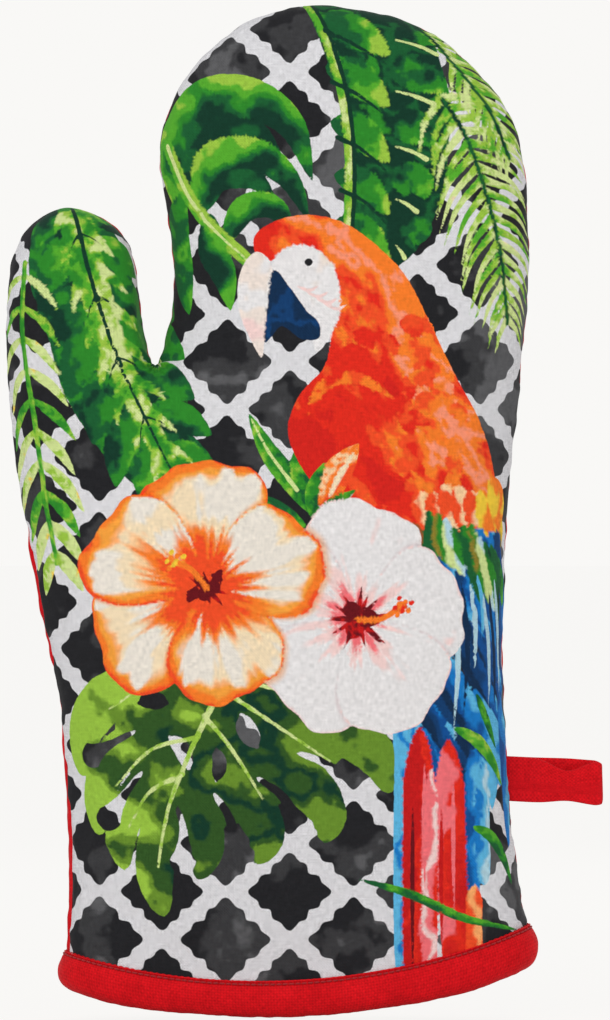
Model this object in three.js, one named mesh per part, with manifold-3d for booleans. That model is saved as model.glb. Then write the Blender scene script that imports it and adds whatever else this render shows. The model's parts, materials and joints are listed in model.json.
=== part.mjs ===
// A padded oven mitt, in millimetres. +Z runs from the cuff to the fingertips, the patterned
// front faces -Y, the thumb is on -X and the hanging loop on +X. The origin is the middle of
// the cuff's opening, level with the lowest point of its hem.
//
// The mitt is two sandwiches, front and back, of outer cotton, wadding and lining. They meet
// at a seam in the plane y = 0, which runs round thumb and fingers from one side of the cuff
// to the other. A bias strip binds the raw edge of the cuff, and a folded strip, sewn into the
// side seam, makes the hanging loop.
import * as THREE from "three";
import { mergeVertices } from "three/addons/utils/BufferGeometryUtils.js";
import Module from "manifold-3d";

// Cloth
const COTTON = 0.8; // one ply of outer cotton or lining
const WADDING = 4; // each wadding, lofted
const GAP = 0.3; // clearance between pieces that touch
const PAD_GAP = 0.6; // from the seam plane to each wadding's edge
const THREAD_RADIUS = 0.25;

// Depths below the outer surface at which each layer starts and ends
const SHELL = [0, COTTON];
const PAD = [SHELL[1] + GAP, SHELL[1] + GAP + WADDING];
const LINING = [PAD[1] + GAP, PAD[1] + GAP + COTTON];

// The hem is an arc in front view, and the binding a band of even width along it
const HEM_RADIUS = 215;
const HEM_LOW_X = -10;
const HEM_SIDES = 144; // of the whole circle
const BINDING_WIDTH = 13;
const BINDING_PLY = 1.2;
const STITCH_INSET = 1.2; // binding's stitch line, from its upper edge

// The seam round thumb and fingers, sewn in the plane y = 0
const SEAM_START = 34;
const SEAM_STEP = 14;
const SEAM_TURN = 1.4; // radius of its turn between thumb and fingers
const CROTCH_Z = 213;

// Hanging loop: a strip folded in half, its ends sewn into the right-hand seam
const LOOP_WIDTH = 13.8;
const LOOP_REACH = 28.8; // from the hinge line to the fold
const LOOP_BOTTOM = 70.6;
const LOOP_PLY = 1.2;
const LOOP_EYE = 3.2; // half of the eye's widest gap
const TAIL_LENGTH = 7; // sewn into the seam

// Half-sections are superellipses whose crown is pressed flat
const SQUARENESS = 2.6;
const FLAT_SHARE = 0.97;
const HAND_SEGMENTS = 24;
const THUMB_SEGMENTS = 16;
const CAP_SQUARENESS = 2.1;
const CAP_ANGLES = [18, 36, 54, 69, 81];
const BELOW_HEM = -10; // the lofts start under the hem and are cut back to it

// Reach of the cutting blocks, past the whole mitt
const WIDE = 200;
const TALL = 400;

// A smooth edge through [z, value] points
function edge(points) {
  const heights = points.map((p) => p[0]);
  const values = points.map((p) => p[1]);
  const curve = new THREE.CubicInterpolant(heights, values, 1);
  return (z) => curve.evaluate(z)[0];
}

const hand = {
  left: edge([[-10, -76.5], [22, -76.5], [50, -75.5], [80, -76.2], [110, -77], [140, -74],
    [170, -67], [195, -56.5], [213, -47], [228, -42.4], [250, -42], [272, -44.6]]),
  right: edge([[-10, 78], [22, 75.8], [45, 72], [70, 68.4], [110, 66], [150, 67],
    [200, 71], [235, 74.3], [272, 73.8]]),
  half: edge([[-10, 22.5], [22, 23], [50, 23], [95, 23], [140, 23], [200, 21.5], [272, 18.5]]),
  heights: [BELOW_HEM, 22, 50, 95, 140, 170, 200, 222, 245, 272],
  capHeight: 58,
  capLean: -4.6,
  segments: HAND_SEGMENTS,
};

const thumb = {
  left: edge([[70, -66], [90, -73], [105, -78.6], [121, -82.1], [147, -87.3], [175, -91.5],
    [205, -94.7], [236, -95.6]]),
  right: edge([[70, -34], [105, -32], [140, -31], [170, -35], [195, -41], [213, -47],
    [228, -51.6], [236, -52.8]]),
  half: edge([[70, 13], [105, 16], [140, 17], [195, 16], [236, 15]]),
  heights: [70, 105, 140, 175, 207, 236],
  capHeight: 27.6,
  capLean: 0,
  segments: THUMB_SEGMENTS,
};

const power = (value, exponent) => Math.sign(value) * Math.abs(value) ** exponent;

// The cap's width and height factors at an angle up from its base
function capFactors(degrees) {
  const angle = THREE.MathUtils.degToRad(degrees);
  const exponent = 2 / CAP_SQUARENESS;
  return { width: Math.cos(angle) ** exponent, height: Math.sin(angle) ** exponent };
}

// One horizontal section of a limb, as a closed ring of points
function section(z, middle, halfWidth, half, segments) {
  const ring = [];
  for (let i = 0; i < segments; i++) {
    const angle = (2 * Math.PI * i) / segments;
    const across = power(Math.cos(angle), 2 / SQUARENESS);
    const out = power(Math.sin(angle), 2 / SQUARENESS);
    const pressed = THREE.MathUtils.clamp(out, -FLAT_SHARE, FLAT_SHARE);
    ring.push(new THREE.Vector3(middle + halfWidth * across, half * pressed, z));
  }
  return ring;
}

// A limb's sections at a depth below its surface, from the bottom to its rounded end
function sections(limb, depth) {
  const rings = limb.heights.map((z) => {
    const middle = (limb.left(z) + limb.right(z)) / 2;
    const halfWidth = (limb.right(z) - limb.left(z)) / 2 - depth;
    return section(z, middle, halfWidth, limb.half(z) - depth, limb.segments);
  });
  const base = limb.heights.at(-1);
  const middle = (limb.left(base) + limb.right(base)) / 2;
  const halfWidth = (limb.right(base) - limb.left(base)) / 2 - depth;
  for (const degrees of CAP_ANGLES) {
    const { width, height } = capFactors(degrees);
    const z = base + (limb.capHeight - depth) * height;
    const lean = limb.capLean * height;
    const half = (limb.half(base) - depth) * width;
    rings.push(section(z, middle + lean, halfWidth * width, half, limb.segments));
  }
  const tip = new THREE.Vector3(middle + limb.capLean, 0, base + limb.capHeight - depth);
  return { rings, tip };
}

// A closed surface through rings of equal length, with a flat bottom and a pointed top
function loft({ rings, tip }) {
  const count = rings[0].length;
  const centre = new THREE.Vector3();
  rings[0].forEach((point) => centre.addScaledVector(point, 1 / count));
  const points = [...rings.flat(), centre, tip];
  const bottom = points.length - 2;
  const top = points.length - 1;
  const faces = [];
  for (let i = 0; i < count; i++) {
    const next = (i + 1) % count;
    faces.push(bottom, next, i);
    for (let r = 0; r < rings.length - 1; r++) {
      const low = r * count;
      const high = low + count;
      faces.push(low + i, low + next, high + next, low + i, high + next, high + i);
    }
    const last = (rings.length - 1) * count;
    faces.push(last + i, last + next, top);
  }
  return new THREE.BufferGeometry().setFromPoints(points).setIndex(faces);
}

const wasm = await Module();
wasm.setup();

// A closed geometry as a solid that can be joined and cut
function solid(geometry) {
  const bare = geometry.clone();
  bare.deleteAttribute("normal");
  bare.deleteAttribute("uv");
  const merged = mergeVertices(bare, 1e-4);
  return new wasm.Manifold(new wasm.Mesh({
    numProp: 3,
    vertProperties: merged.attributes.position.array,
    triVerts: new Uint32Array(merged.index.array),
  }));
}

function geometryOf(made) {
  const mesh = made.getMesh();
  return new THREE.BufferGeometry()
    .setAttribute("position", new THREE.BufferAttribute(mesh.vertProperties, 3))
    .setIndex(new THREE.BufferAttribute(mesh.triVerts, 1));
}

function box(low, high) {
  const size = high.map((v, i) => v - low[i]);
  const middle = high.map((v, i) => (v + low[i]) / 2);
  return solid(new THREE.BoxGeometry(...size).translate(...middle));
}

// Everything above the hem's arc, less a margin
function aboveHem(margin) {
  const radius = HEM_RADIUS - margin;
  const cylinder = new THREE.CylinderGeometry(radius, radius, WIDE, HEM_SIDES);
  return solid(cylinder.translate(HEM_LOW_X, 0, HEM_RADIUS));
}

// The whole mitt's outer form at a depth below its surface, without an opening
function form(depth) {
  return solid(loft(sections(hand, depth))).add(solid(loft(sections(thumb, depth))));
}

const front = (gap) => box([-WIDE, -WIDE, -WIDE], [WIDE, -gap, TALL]);
const back = (gap) => box([-WIDE, gap, -WIDE], [WIDE, WIDE, TALL]);

// The sewn-in end of the loop, and the slot that it needs between front and back
const loopTop = LOOP_BOTTOM + LOOP_WIDTH;
const seamX = hand.right(LOOP_BOTTOM);
const tailEnd = seamX - 1;
const tailStart = tailEnd - TAIL_LENGTH;
const tailSlot = box(
  [tailStart - GAP, -LOOP_PLY - GAP, LOOP_BOTTOM - GAP],
  [WIDE, LOOP_PLY + GAP, loopTop + GAP],
);

// One layer of one side: between two depths, above the binding's fold, clear of the loop
function layer([start, end], side) {
  return form(start)
    .subtract(form(end))
    .intersect(aboveHem(BINDING_PLY + GAP))
    .intersect(side)
    .subtract(tailSlot);
}

// The binding folds round the raw edges of all six layers
function binding() {
  const outside = form(-GAP - BINDING_PLY);
  const inside = form(LINING[1] + GAP + BINDING_PLY);
  const edges = form(-GAP).subtract(form(LINING[1] + GAP)).intersect(aboveHem(BINDING_PLY));
  return outside
    .subtract(inside)
    .intersect(aboveHem(0))
    .subtract(aboveHem(BINDING_WIDTH))
    .subtract(edges);
}

// The loop's two plies in plan, with the hinge line at the origin and the fold on +X. A curve's
// control points stand further out than the curve itself, by the factors here.
function loop() {
  const root = LOOP_PLY; // both plies lie together there
  const fold = LOOP_PLY * 1.4;
  const end = LOOP_REACH - fold;
  const third = LOOP_REACH / 3;
  const bulge = (LOOP_EYE + LOOP_PLY) * 1.2;
  const outline = new THREE.Shape();
  outline.moveTo(0, -root);
  outline.bezierCurveTo(third, -bulge, 2 * third, -bulge, end, -fold);
  outline.absarc(end, 0, fold, -Math.PI / 2, Math.PI / 2, false);
  outline.bezierCurveTo(2 * third, bulge, third, bulge, 0, root);
  outline.absarc(0, 0, root, Math.PI / 2, (3 * Math.PI) / 2, false);
  const eye = new THREE.Path();
  const eyeBulge = LOOP_EYE * 1.35;
  const eyeStart = third / 2;
  eye.moveTo(eyeStart, 0);
  eye.bezierCurveTo(third, eyeBulge, 2 * third, eyeBulge, end, 0);
  eye.bezierCurveTo(2 * third, -eyeBulge, third, -eyeBulge, eyeStart, 0);
  outline.holes.push(eye);
  return new THREE.ExtrudeGeometry(outline, {
    depth: LOOP_WIDTH,
    bevelEnabled: false,
    curveSegments: 9,
  });
}

// The sewn-in end has a tunnel where the two seams' threads pass through it
function loopTail() {
  const tail = box([tailStart, -LOOP_PLY, LOOP_BOTTOM], [tailEnd, LOOP_PLY, loopTop]);
  const tunnel = box(
    [tailStart + GAP * 2, -PAD_GAP, LOOP_BOTTOM - 1],
    [tailEnd - GAP, PAD_GAP, loopTop + 1],
  );
  return tail.subtract(tunnel);
}

// A smooth path whose even steps go from each of its points to the next
class PointByPoint extends THREE.CatmullRomCurve3 {
  getUtoTmapping(share) {
    return share;
  }
}

function thread(points) {
  const round = new THREE.Shape().absarc(0, 0, THREAD_RADIUS, 0, 2 * Math.PI);
  return new THREE.ExtrudeGeometry(round, {
    steps: points.length - 1,
    extrudePath: new PointByPoint(points, false, "centripetal"),
    curveSegments: 2,
  });
}

// A limb's rounded end in the seam plane, from its left side to its right
function capPoints(limb, depth) {
  const base = limb.heights.at(-1);
  const middle = (limb.left(base) + limb.right(base)) / 2;
  const halfWidth = (limb.right(base) - limb.left(base)) / 2 - depth;
  const points = [];
  for (let degrees = 12; degrees <= 168; degrees += 12) {
    const rise = Math.min(degrees, 180 - degrees);
    const { width, height } = capFactors(rise);
    const side = degrees <= 90 ? -1 : 1;
    const x = middle + limb.capLean * height + side * halfWidth * width;
    points.push(new THREE.Vector3(x, 0, base + (limb.capHeight - depth) * height));
  }
  return points;
}

// A seam's line round thumb and fingers, at a depth inside the outline
function seamPoints(depth) {
  const thumbTop = thumb.heights.at(-1);
  const handTop = hand.heights.at(-1);
  const slit = (z) => hand.left(z) - thumb.right(z) + 2 * depth;
  let turnZ = CROTCH_Z;
  while (slit(turnZ) > 2 * SEAM_TURN) {
    turnZ -= 0.25;
  }
  const points = [];
  const add = (x, z) => points.push(new THREE.Vector3(x, 0, z));
  for (let z = SEAM_START; z < thumbTop; z += SEAM_STEP) {
    const inThumb = z > thumb.heights[0] && thumb.left(z) < hand.left(z);
    add((inThumb ? thumb.left(z) : hand.left(z)) + depth, z);
  }
  points.push(...capPoints(thumb, depth));
  for (let z = thumbTop; z > turnZ + SEAM_TURN; z -= SEAM_STEP / 2) {
    add(thumb.right(z) - depth, z);
  }
  const middle = (hand.left(turnZ) + thumb.right(turnZ)) / 2;
  for (let degrees = 180; degrees <= 360; degrees += 45) {
    const angle = THREE.MathUtils.degToRad(degrees);
    add(middle + SEAM_TURN * Math.cos(angle), turnZ + SEAM_TURN * Math.sin(angle));
  }
  for (let z = turnZ + SEAM_STEP / 2; z < handTop; z += SEAM_STEP / 2) {
    add(hand.left(z) + depth, z);
  }
  points.push(...capPoints(hand, depth));
  for (let z = handTop; z > SEAM_START; z -= SEAM_STEP) {
    add(hand.right(z) - depth, z);
  }
  return points;
}

// A stitch line round the cuff, parallel to the hem, at a depth below the mitt's surface. Its
// two ends nearly meet at the left-hand seam.
function cuffStitchPoints(depth) {
  const radius = HEM_RADIUS - BINDING_WIDTH + STITCH_INSET;
  const points = [];
  for (let i = 0; i < HAND_SEGMENTS; i++) {
    const place = (i + HAND_SEGMENTS / 2) % HAND_SEGMENTS;
    let z = BINDING_WIDTH;
    let point;
    for (let pass = 0; pass < 4; pass++) {
      const middle = (hand.left(z) + hand.right(z)) / 2;
      const halfWidth = (hand.right(z) - hand.left(z)) / 2 - depth;
      point = section(z, middle, halfWidth, hand.half(z) - depth, HAND_SEGMENTS)[place];
      z = HEM_RADIUS - Math.sqrt(radius ** 2 - (point.x - HEM_LOW_X) ** 2);
    }
    points.push(point.setZ(z));
  }
  points.push(points.at(-1).clone().lerp(points[0], 0.9));
  return points;
}

const printedCotton = new THREE.MeshStandardMaterial({ color: 0xd8d6d0, roughness: 0.9 });
const redCotton = new THREE.MeshStandardMaterial({ color: 0xc8141c, roughness: 0.9 });
const fleece = new THREE.MeshStandardMaterial({ color: 0xf1efe9, roughness: 1 });
const liningCotton = new THREE.MeshStandardMaterial({ color: 0xe9e4da, roughness: 0.95 });
const redThread = new THREE.MeshStandardMaterial({ color: 0xa80f16, roughness: 0.7 });
const paleThread = new THREE.MeshStandardMaterial({ color: 0xe4ded2, roughness: 0.7 });

const mitt = new THREE.Group();

function addPiece(name, geometry, material, parent = mitt) {
  const mesh = new THREE.Mesh(geometry, material);
  mesh.name = name;
  parent.add(mesh);
  return mesh;
}

addPiece("front_shell", geometryOf(layer(SHELL, front(GAP / 2))), printedCotton);
addPiece("back_shell", geometryOf(layer(SHELL, back(GAP / 2))), redCotton);
addPiece("front_wadding", geometryOf(layer(PAD, front(PAD_GAP))), fleece);
addPiece("back_wadding", geometryOf(layer(PAD, back(PAD_GAP))), fleece);
addPiece("front_lining", geometryOf(layer(LINING, front(GAP / 2))), liningCotton);
addPiece("back_lining", geometryOf(layer(LINING, back(GAP / 2))), liningCotton);
addPiece("cuff_binding", geometryOf(binding()), redCotton);
addPiece("loop_tail", geometryOf(loopTail()), redCotton);

const SHELL_SEAM = SHELL[1] + 1.2;
const LINING_SEAM = LINING[0] - 1.6;
addPiece("shell_seam_thread", thread(seamPoints(SHELL_SEAM)), paleThread);
addPiece("lining_seam_thread", thread(seamPoints(LINING_SEAM)), paleThread);

const NEEDLE_DEPTH = -(GAP + BINDING_PLY + GAP + THREAD_RADIUS);
const BOBBIN_DEPTH = LINING[1] + GAP + BINDING_PLY + GAP + THREAD_RADIUS;
addPiece("binding_needle_thread", thread(cuffStitchPoints(NEEDLE_DEPTH)), redThread);
addPiece("binding_bobbin_thread", thread(cuffStitchPoints(BOBBIN_DEPTH)), redThread);

// The loop turns about the line where it leaves the seam
const hinge = new THREE.Group();
hinge.position.set(seamX + GAP + LOOP_PLY, 0, LOOP_BOTTOM);
mitt.add(hinge);
addPiece("hanging_loop", loop(), redCotton, hinge);

export default mitt;
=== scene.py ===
"""A padded oven mitt round its CAD frame: cloth panels, wadding, lining, binding and loop.

Lengths are millimetres until a mesh is made, when they become metres. x and z lie in the
seam's plane, as in the frame, and y is the depth, with the patterned front on -y.
"""

import json
import math

import bpy
import numpy as np
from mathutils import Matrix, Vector, geometry

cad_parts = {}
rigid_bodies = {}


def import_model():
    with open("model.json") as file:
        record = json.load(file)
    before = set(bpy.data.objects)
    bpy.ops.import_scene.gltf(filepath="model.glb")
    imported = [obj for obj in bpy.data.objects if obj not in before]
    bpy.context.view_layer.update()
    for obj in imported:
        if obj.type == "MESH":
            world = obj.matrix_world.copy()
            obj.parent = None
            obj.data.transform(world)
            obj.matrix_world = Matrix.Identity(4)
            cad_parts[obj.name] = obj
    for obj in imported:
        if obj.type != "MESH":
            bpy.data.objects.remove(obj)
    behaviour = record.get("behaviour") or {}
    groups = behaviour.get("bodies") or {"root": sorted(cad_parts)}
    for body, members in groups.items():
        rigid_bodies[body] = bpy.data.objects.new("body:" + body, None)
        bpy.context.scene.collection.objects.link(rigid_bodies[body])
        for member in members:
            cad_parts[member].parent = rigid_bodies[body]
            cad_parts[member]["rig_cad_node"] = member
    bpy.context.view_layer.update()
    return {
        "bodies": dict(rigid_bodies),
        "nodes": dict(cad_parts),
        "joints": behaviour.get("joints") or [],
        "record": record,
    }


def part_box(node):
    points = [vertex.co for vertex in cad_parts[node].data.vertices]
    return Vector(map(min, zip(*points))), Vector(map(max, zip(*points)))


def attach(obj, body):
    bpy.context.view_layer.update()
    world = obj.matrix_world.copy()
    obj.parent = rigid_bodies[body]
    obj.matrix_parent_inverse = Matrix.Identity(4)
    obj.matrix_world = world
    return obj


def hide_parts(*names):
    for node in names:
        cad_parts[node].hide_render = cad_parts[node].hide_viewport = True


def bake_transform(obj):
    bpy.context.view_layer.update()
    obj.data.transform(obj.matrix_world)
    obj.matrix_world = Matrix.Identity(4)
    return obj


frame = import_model()

MM = 0.001
FRONT = -1
BACK = 1

# ---- the mitt's shape ------------------------------------------------------------------

HEM_RADIUS = 215.0  # of the hem's arc in front view
HEM_LOW_X = -10.0
HEM_FADE = 95.0  # height over which the hem's curve dies out
SQUARENESS = 2.6  # of the superellipse that the padding swells to
HAND_SWELL = 52.0  # distance from the seam at which the palm is full
THUMB_SWELL = 20.0
# Half thickness of the hand at each height
HAND_HALF = [(0, 22.5), (60, 23.0), (140, 23.0), (200, 21.5), (272, 18.5), (330, 17.0)]
THUMB_HALF = 15.5
CELL = 3.3  # edge length of the shells' coarse mesh
CROTCH_CELL = 0.55  # the same in the crotch, where the seam turns sharply
CELL_GROWTH = 0.28  # how fast it grows away from there
ROW_STEP = 0.87  # between rows of near-equilateral triangles, as a share of their side
GRID_GAP = 0.62  # the least distance between rings and grid points, as the same share
SIDE_DEPTH = 9.0  # reach of the rings along the seam
# How far across that reach each ring lies, over the cloth
SIDE_SHARES = [0.0, 0.022, 0.055, 0.105, 0.18, 0.28, 0.4, 0.54, 0.69, 0.84, 1.0]
PAD_DEPTHS = (2.2, 5.0)  # of the wadding's two faces
LINING_DEPTH = 5.8
FAR_FROM_SEAM = 60.0  # stands for the distance of every point past the rings
RAW_EDGE = 3.5  # height of the layers' raw edges, inside the binding

# Seam line round thumb and fingers, from the left-hand hem to the right-hand one
SEAM_LINE = [
    (-77.0, -6), (-76.3, 22), (-75.4, 50), (-76.9, 82), (-79.5, 108), (-85.0, 134),
    (-90.2, 167), (-94.0, 193), (-95.4, 215), (-95.6, 236), (-92.9, 250), (-86.9, 259.0),
    (-75.5, 264.0), (-62.2, 259.4), (-54.9, 250), (-52.6, 238), (-51.0, 226), (-49.6, 218),
    (-48.4, 213.8), (-47.2, 212.6), (-46.1, 213.8), (-44.7, 218), (-42.9, 226), (-41.7, 238),
    (-42.1, 252), (-44.5, 270), (-45.7, 283), (-42.2, 297), (-34.6, 309.8), (-20.6, 322.3),
    (-3.0, 328.9), (14.0, 329.1), (37.9, 323.3), (54.8, 310.9), (67.7, 295.4), (73.2, 278),
    (75.0, 258), (74.8, 238), (72.7, 212), (69.8, 186), (67.8, 160), (66.7, 130), (66.9, 105),
    (68.8, 70), (71.4, 48), (74.7, 28), (78.8, -6),
]
CROTCH = (-47.2, 212.6)
THUMB_DIVIDE = [(100, -30), (CROTCH[1], CROTCH[0]), (260, -48)]  # height, x
THUMB_BLUR = 1.6  # half width of the blend from thumb to palm, from the crotch up
BLUR_GROWTH = 0.55  # how fast it widens below there
THUMB_BASE = (95, 190)  # heights between which the thumb grows out of the palm

# How far the left-hand seam is rolled towards the front: (height, distance over the cloth)
SEAM_ROLL = [(0, 5.0), (22, 5.5), (60, 6.0), (95, 3.0), (112, 2.0), (132, 5.5), (150, 4.5),
             (168, 0.0)]

# ---- small maths -----------------------------------------------------------------------


def smoothstep(low, high, value):
    t = np.clip((value - low) / (high - low), 0.0, 1.0)
    return t * t * (3 - 2 * t)


def mix(a, b, t):
    return a + (b - a) * t


def spline(points, steps=24, closed=False):
    """A dense smooth curve through points, as rows."""
    p = np.array(points, float)
    if closed:
        p = np.vstack([p[-1], p, p[0], p[1]])
    else:
        p = np.vstack([2 * p[0] - p[1], p, 2 * p[-1] - p[-2]])
    t = np.linspace(0, 1, steps, endpoint=False)[:, None]
    rows = []
    for a, b, c, d in zip(p[:-3], p[1:-2], p[2:-1], p[3:]):
        cubic = (3 * b - a - 3 * c + d) * t**3 + (2 * a - 5 * b + 4 * c - d) * t**2
        rows.append(0.5 * (2 * b + (c - a) * t + cubic))
    if not closed:
        rows.append(p[-2:-1])
    return np.vstack(rows)


def lengths(line):
    """Distance along a line at each of its points."""
    steps = np.linalg.norm(np.diff(line, axis=0), axis=1)
    return np.concatenate([[0], np.cumsum(steps)])


def between(rows, s, at):
    """Rows at the distances `at`, from rows that stand at the distances s."""
    return np.column_stack([np.interp(at, s, column) for column in rows.T])


def resample(line, at):
    return between(line, lengths(line), at)


def unit(rows):
    return rows / np.linalg.norm(rows, axis=1)[:, None]


def hashed(i, j, seed):
    value = np.sin(i * 127.1 + j * 311.7 + seed * 74.7) * 43758.5453
    return value - np.floor(value)


def noise(points, scale, seed):
    """Smooth noise from 0 to 1, with grains `scale` across."""
    q = points / scale
    cell = np.floor(q)
    f = q - cell
    f = f * f * (3 - 2 * f)
    i, j = cell.T
    low = mix(hashed(i, j, seed), hashed(i + 1, j, seed), f[:, 0])
    high = mix(hashed(i, j + 1, seed), hashed(i + 1, j + 1, seed), f[:, 0])
    return mix(low, high, f[:, 1])


def clouds(points, scale, seed, octaves=3):
    total = sum(noise(points, scale / 2**k, seed + k) / 2**k for k in range(octaves))
    return total / (2 - 2 / 2**octaves)


def nearest_on(line, points):
    """Distance to a line, signed + on its left, and the share of its length there."""
    best = np.full(len(points), np.inf)
    side = np.ones(len(points))
    share = np.zeros(len(points))
    s = lengths(line)
    for k, (a, b) in enumerate(zip(line[:-1], line[1:])):
        along = b - a
        t = np.clip(((points - a) @ along) / max(along @ along, 1e-12), 0, 1)
        gap = points - a - t[:, None] * along
        distance = np.hypot(*gap.T)
        closer = distance < best
        best = np.where(closer, distance, best)
        cross = along[0] * gap[:, 1] - along[1] * gap[:, 0]
        side = np.where(closer, np.where(cross >= 0, 1.0, -1.0), side)
        share = np.where(closer, (s[k] + t * (s[k + 1] - s[k])) / s[-1], share)
    return best * side, share


def is_inside(loop, points):
    """Which points lie inside a closed polygon."""
    x, y = points.T
    hit = np.zeros(len(points), bool)
    for (ax, ay), (bx, by) in zip(loop, np.roll(loop, -1, axis=0)):
        if ay != by:
            crosses = (ay > y) != (by > y)
            hit ^= crosses & (x < (bx - ax) * (y - ay) / (by - ay) + ax)
    return hit


def hem(x):
    """Height of the hem's arc above its lowest point."""
    return HEM_RADIUS - np.sqrt(HEM_RADIUS**2 - (x - HEM_LOW_X) ** 2)


def lift(x, height):
    """z of a point that is `height` up a mitt with a straight hem."""
    return height + hem(x) * (1 - smoothstep(0, HEM_FADE, height))


def flatten(x, z):
    """The height that lift() takes to z."""
    height = np.array(z, float)
    for _ in range(12):
        height += z - lift(x, height)
    return height


# ---- the padded surface ----------------------------------------------------------------


def seam_columns():
    """Points of the seam line over a straight hem, closer together in the crotch."""
    line = spline(SEAM_LINE)
    line[:, 1] = flatten(line[:, 0], line[:, 1])
    first, last = np.flatnonzero(line[:, 1] > RAW_EDGE)[[0, -1]]
    line = line[first:last + 1]
    line[[0, -1], 1] = RAW_EDGE
    s = lengths(line)
    away = np.hypot(line[:, 0] - CROTCH[0], line[:, 1] - CROTCH[1])
    density = 1 / np.clip(CELL_GROWTH * away, CROTCH_CELL, CELL)
    count = np.concatenate([[0], np.cumsum(np.diff(s) * (density[1:] + density[:-1]) / 2)])
    columns = int(round(count[-1]))
    return resample(line, np.interp(np.linspace(0, count[-1], columns), count, s))


def inward_normals(line):
    tangent = np.gradient(line, axis=0)
    normal = unit(np.column_stack([tangent[:, 1], -tangent[:, 0]]))
    normal[:, 1] *= smoothstep(0, 18, line[:, 1])
    return unit(normal)


SEAM = seam_columns()
SEAM_INWARD = inward_normals(SEAM)
SEAM_AT = lengths(SEAM)


def thumb_share(x, height):
    """1 in the thumb, 0 in the palm and fingers."""
    divide = np.interp(height, *zip(*THUMB_DIVIDE))
    blur = THUMB_BLUR + np.clip(CROTCH[1] - height, 0, None) * BLUR_GROWTH
    return smoothstep(-blur, blur, divide - x) * smoothstep(*THUMB_BASE, height)


def half_thickness(x, height, reach, inset):
    """Half thickness of the layer `inset` deep, `reach` in from that layer's own edge."""
    thumb = thumb_share(x, height)
    half = mix(np.interp(height, *zip(*HAND_HALF)), THUMB_HALF, thumb) - inset
    full = mix(HAND_SWELL, THUMB_SWELL, thumb) - inset * 0.6
    share = 1 - np.clip(reach / full, 0, 1)
    return half * (1 - share**SQUARENESS) ** (1 / SQUARENESS)


def side_depth(inset):
    """Reach of the rings along the seam, less in a deeper layer, whose corners are tighter."""
    return SIDE_DEPTH - inset / 2


def seam_rings(side, inset):
    """Rings of points from the seam inwards, evenly spread over the cloth."""
    depth = side_depth(inset) * np.linspace(0, 1, 80) ** 2
    roll = np.interp(SEAM[:, 1], *zip(*SEAM_ROLL)) * (np.arange(len(SEAM)) < len(SEAM) / 3)
    start = roll * -side if inset == 0 else np.zeros(len(SEAM))
    reaches, signs, overs = [], [], []
    tables = []
    for point, normal in zip(SEAM, SEAM_INWARD):
        place = point + normal * (depth[:, None] + inset)
        half = half_thickness(place[:, 0], place[:, 1], depth, inset)
        tables.append(lengths(np.column_stack([depth, half])))
    whole = np.array([table[-1] for table in tables])
    for share in SIDE_SHARES:
        over = start + (whole - start) * share
        reach = [np.interp(abs(p), table, depth) for p, table in zip(over, tables)]
        reaches.append(np.array(reach))
        signs.append(np.where(over < 0, -1.0, 1.0))
        overs.append(over)
    return np.array(reaches), np.array(signs), np.array(overs), start, whole


def middle_grid(rim, cell):
    """A rim closed along the hem, and a grid of points inside it."""
    count = int((rim[-1, 0] - rim[0, 0]) / cell)
    bottom = np.full((count - 1, 2), RAW_EDGE)
    bottom[:, 0] = np.linspace(rim[-1, 0], rim[0, 0], count + 1)[1:-1]
    loop = np.vstack([rim, bottom])
    low, high = loop.min(0), loop.max(0)
    rise = cell * ROW_STEP
    rows = []
    for number, height in enumerate(np.arange(low[1] + rise, high[1], rise)):
        xs = np.arange(low[0] + (number % 2) * cell / 2, high[0], cell)
        rows.append(np.column_stack([xs, np.full(len(xs), height)]))
    grid = np.vstack(rows)
    gap = np.abs(nearest_on(np.vstack([loop, loop[:1]]), grid)[0])
    return loop, bottom, grid[is_inside(loop, grid) & (gap > cell * GRID_GAP)]


def grid_faces(side, loop, grid, first):
    """Triangles over a grid and the loop round it, whose points are numbered from `first`."""
    flat = [Vector(p) for p in np.vstack([loop, grid])]
    places, _, triangles, sources = geometry.delaunay_2d_cdt(
        flat, [], [list(range(len(loop)))], 1, 1e-5)[:4]
    faces = []
    for triangle in triangles:
        a, b, c = (places[i] for i in triangle)
        turn = (b - a).cross(c - a)
        corners = [first + sources[i][0] for i in triangle]
        faces.append(corners if (turn > 0) == (side == FRONT) else corners[::-1])
    return faces


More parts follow.
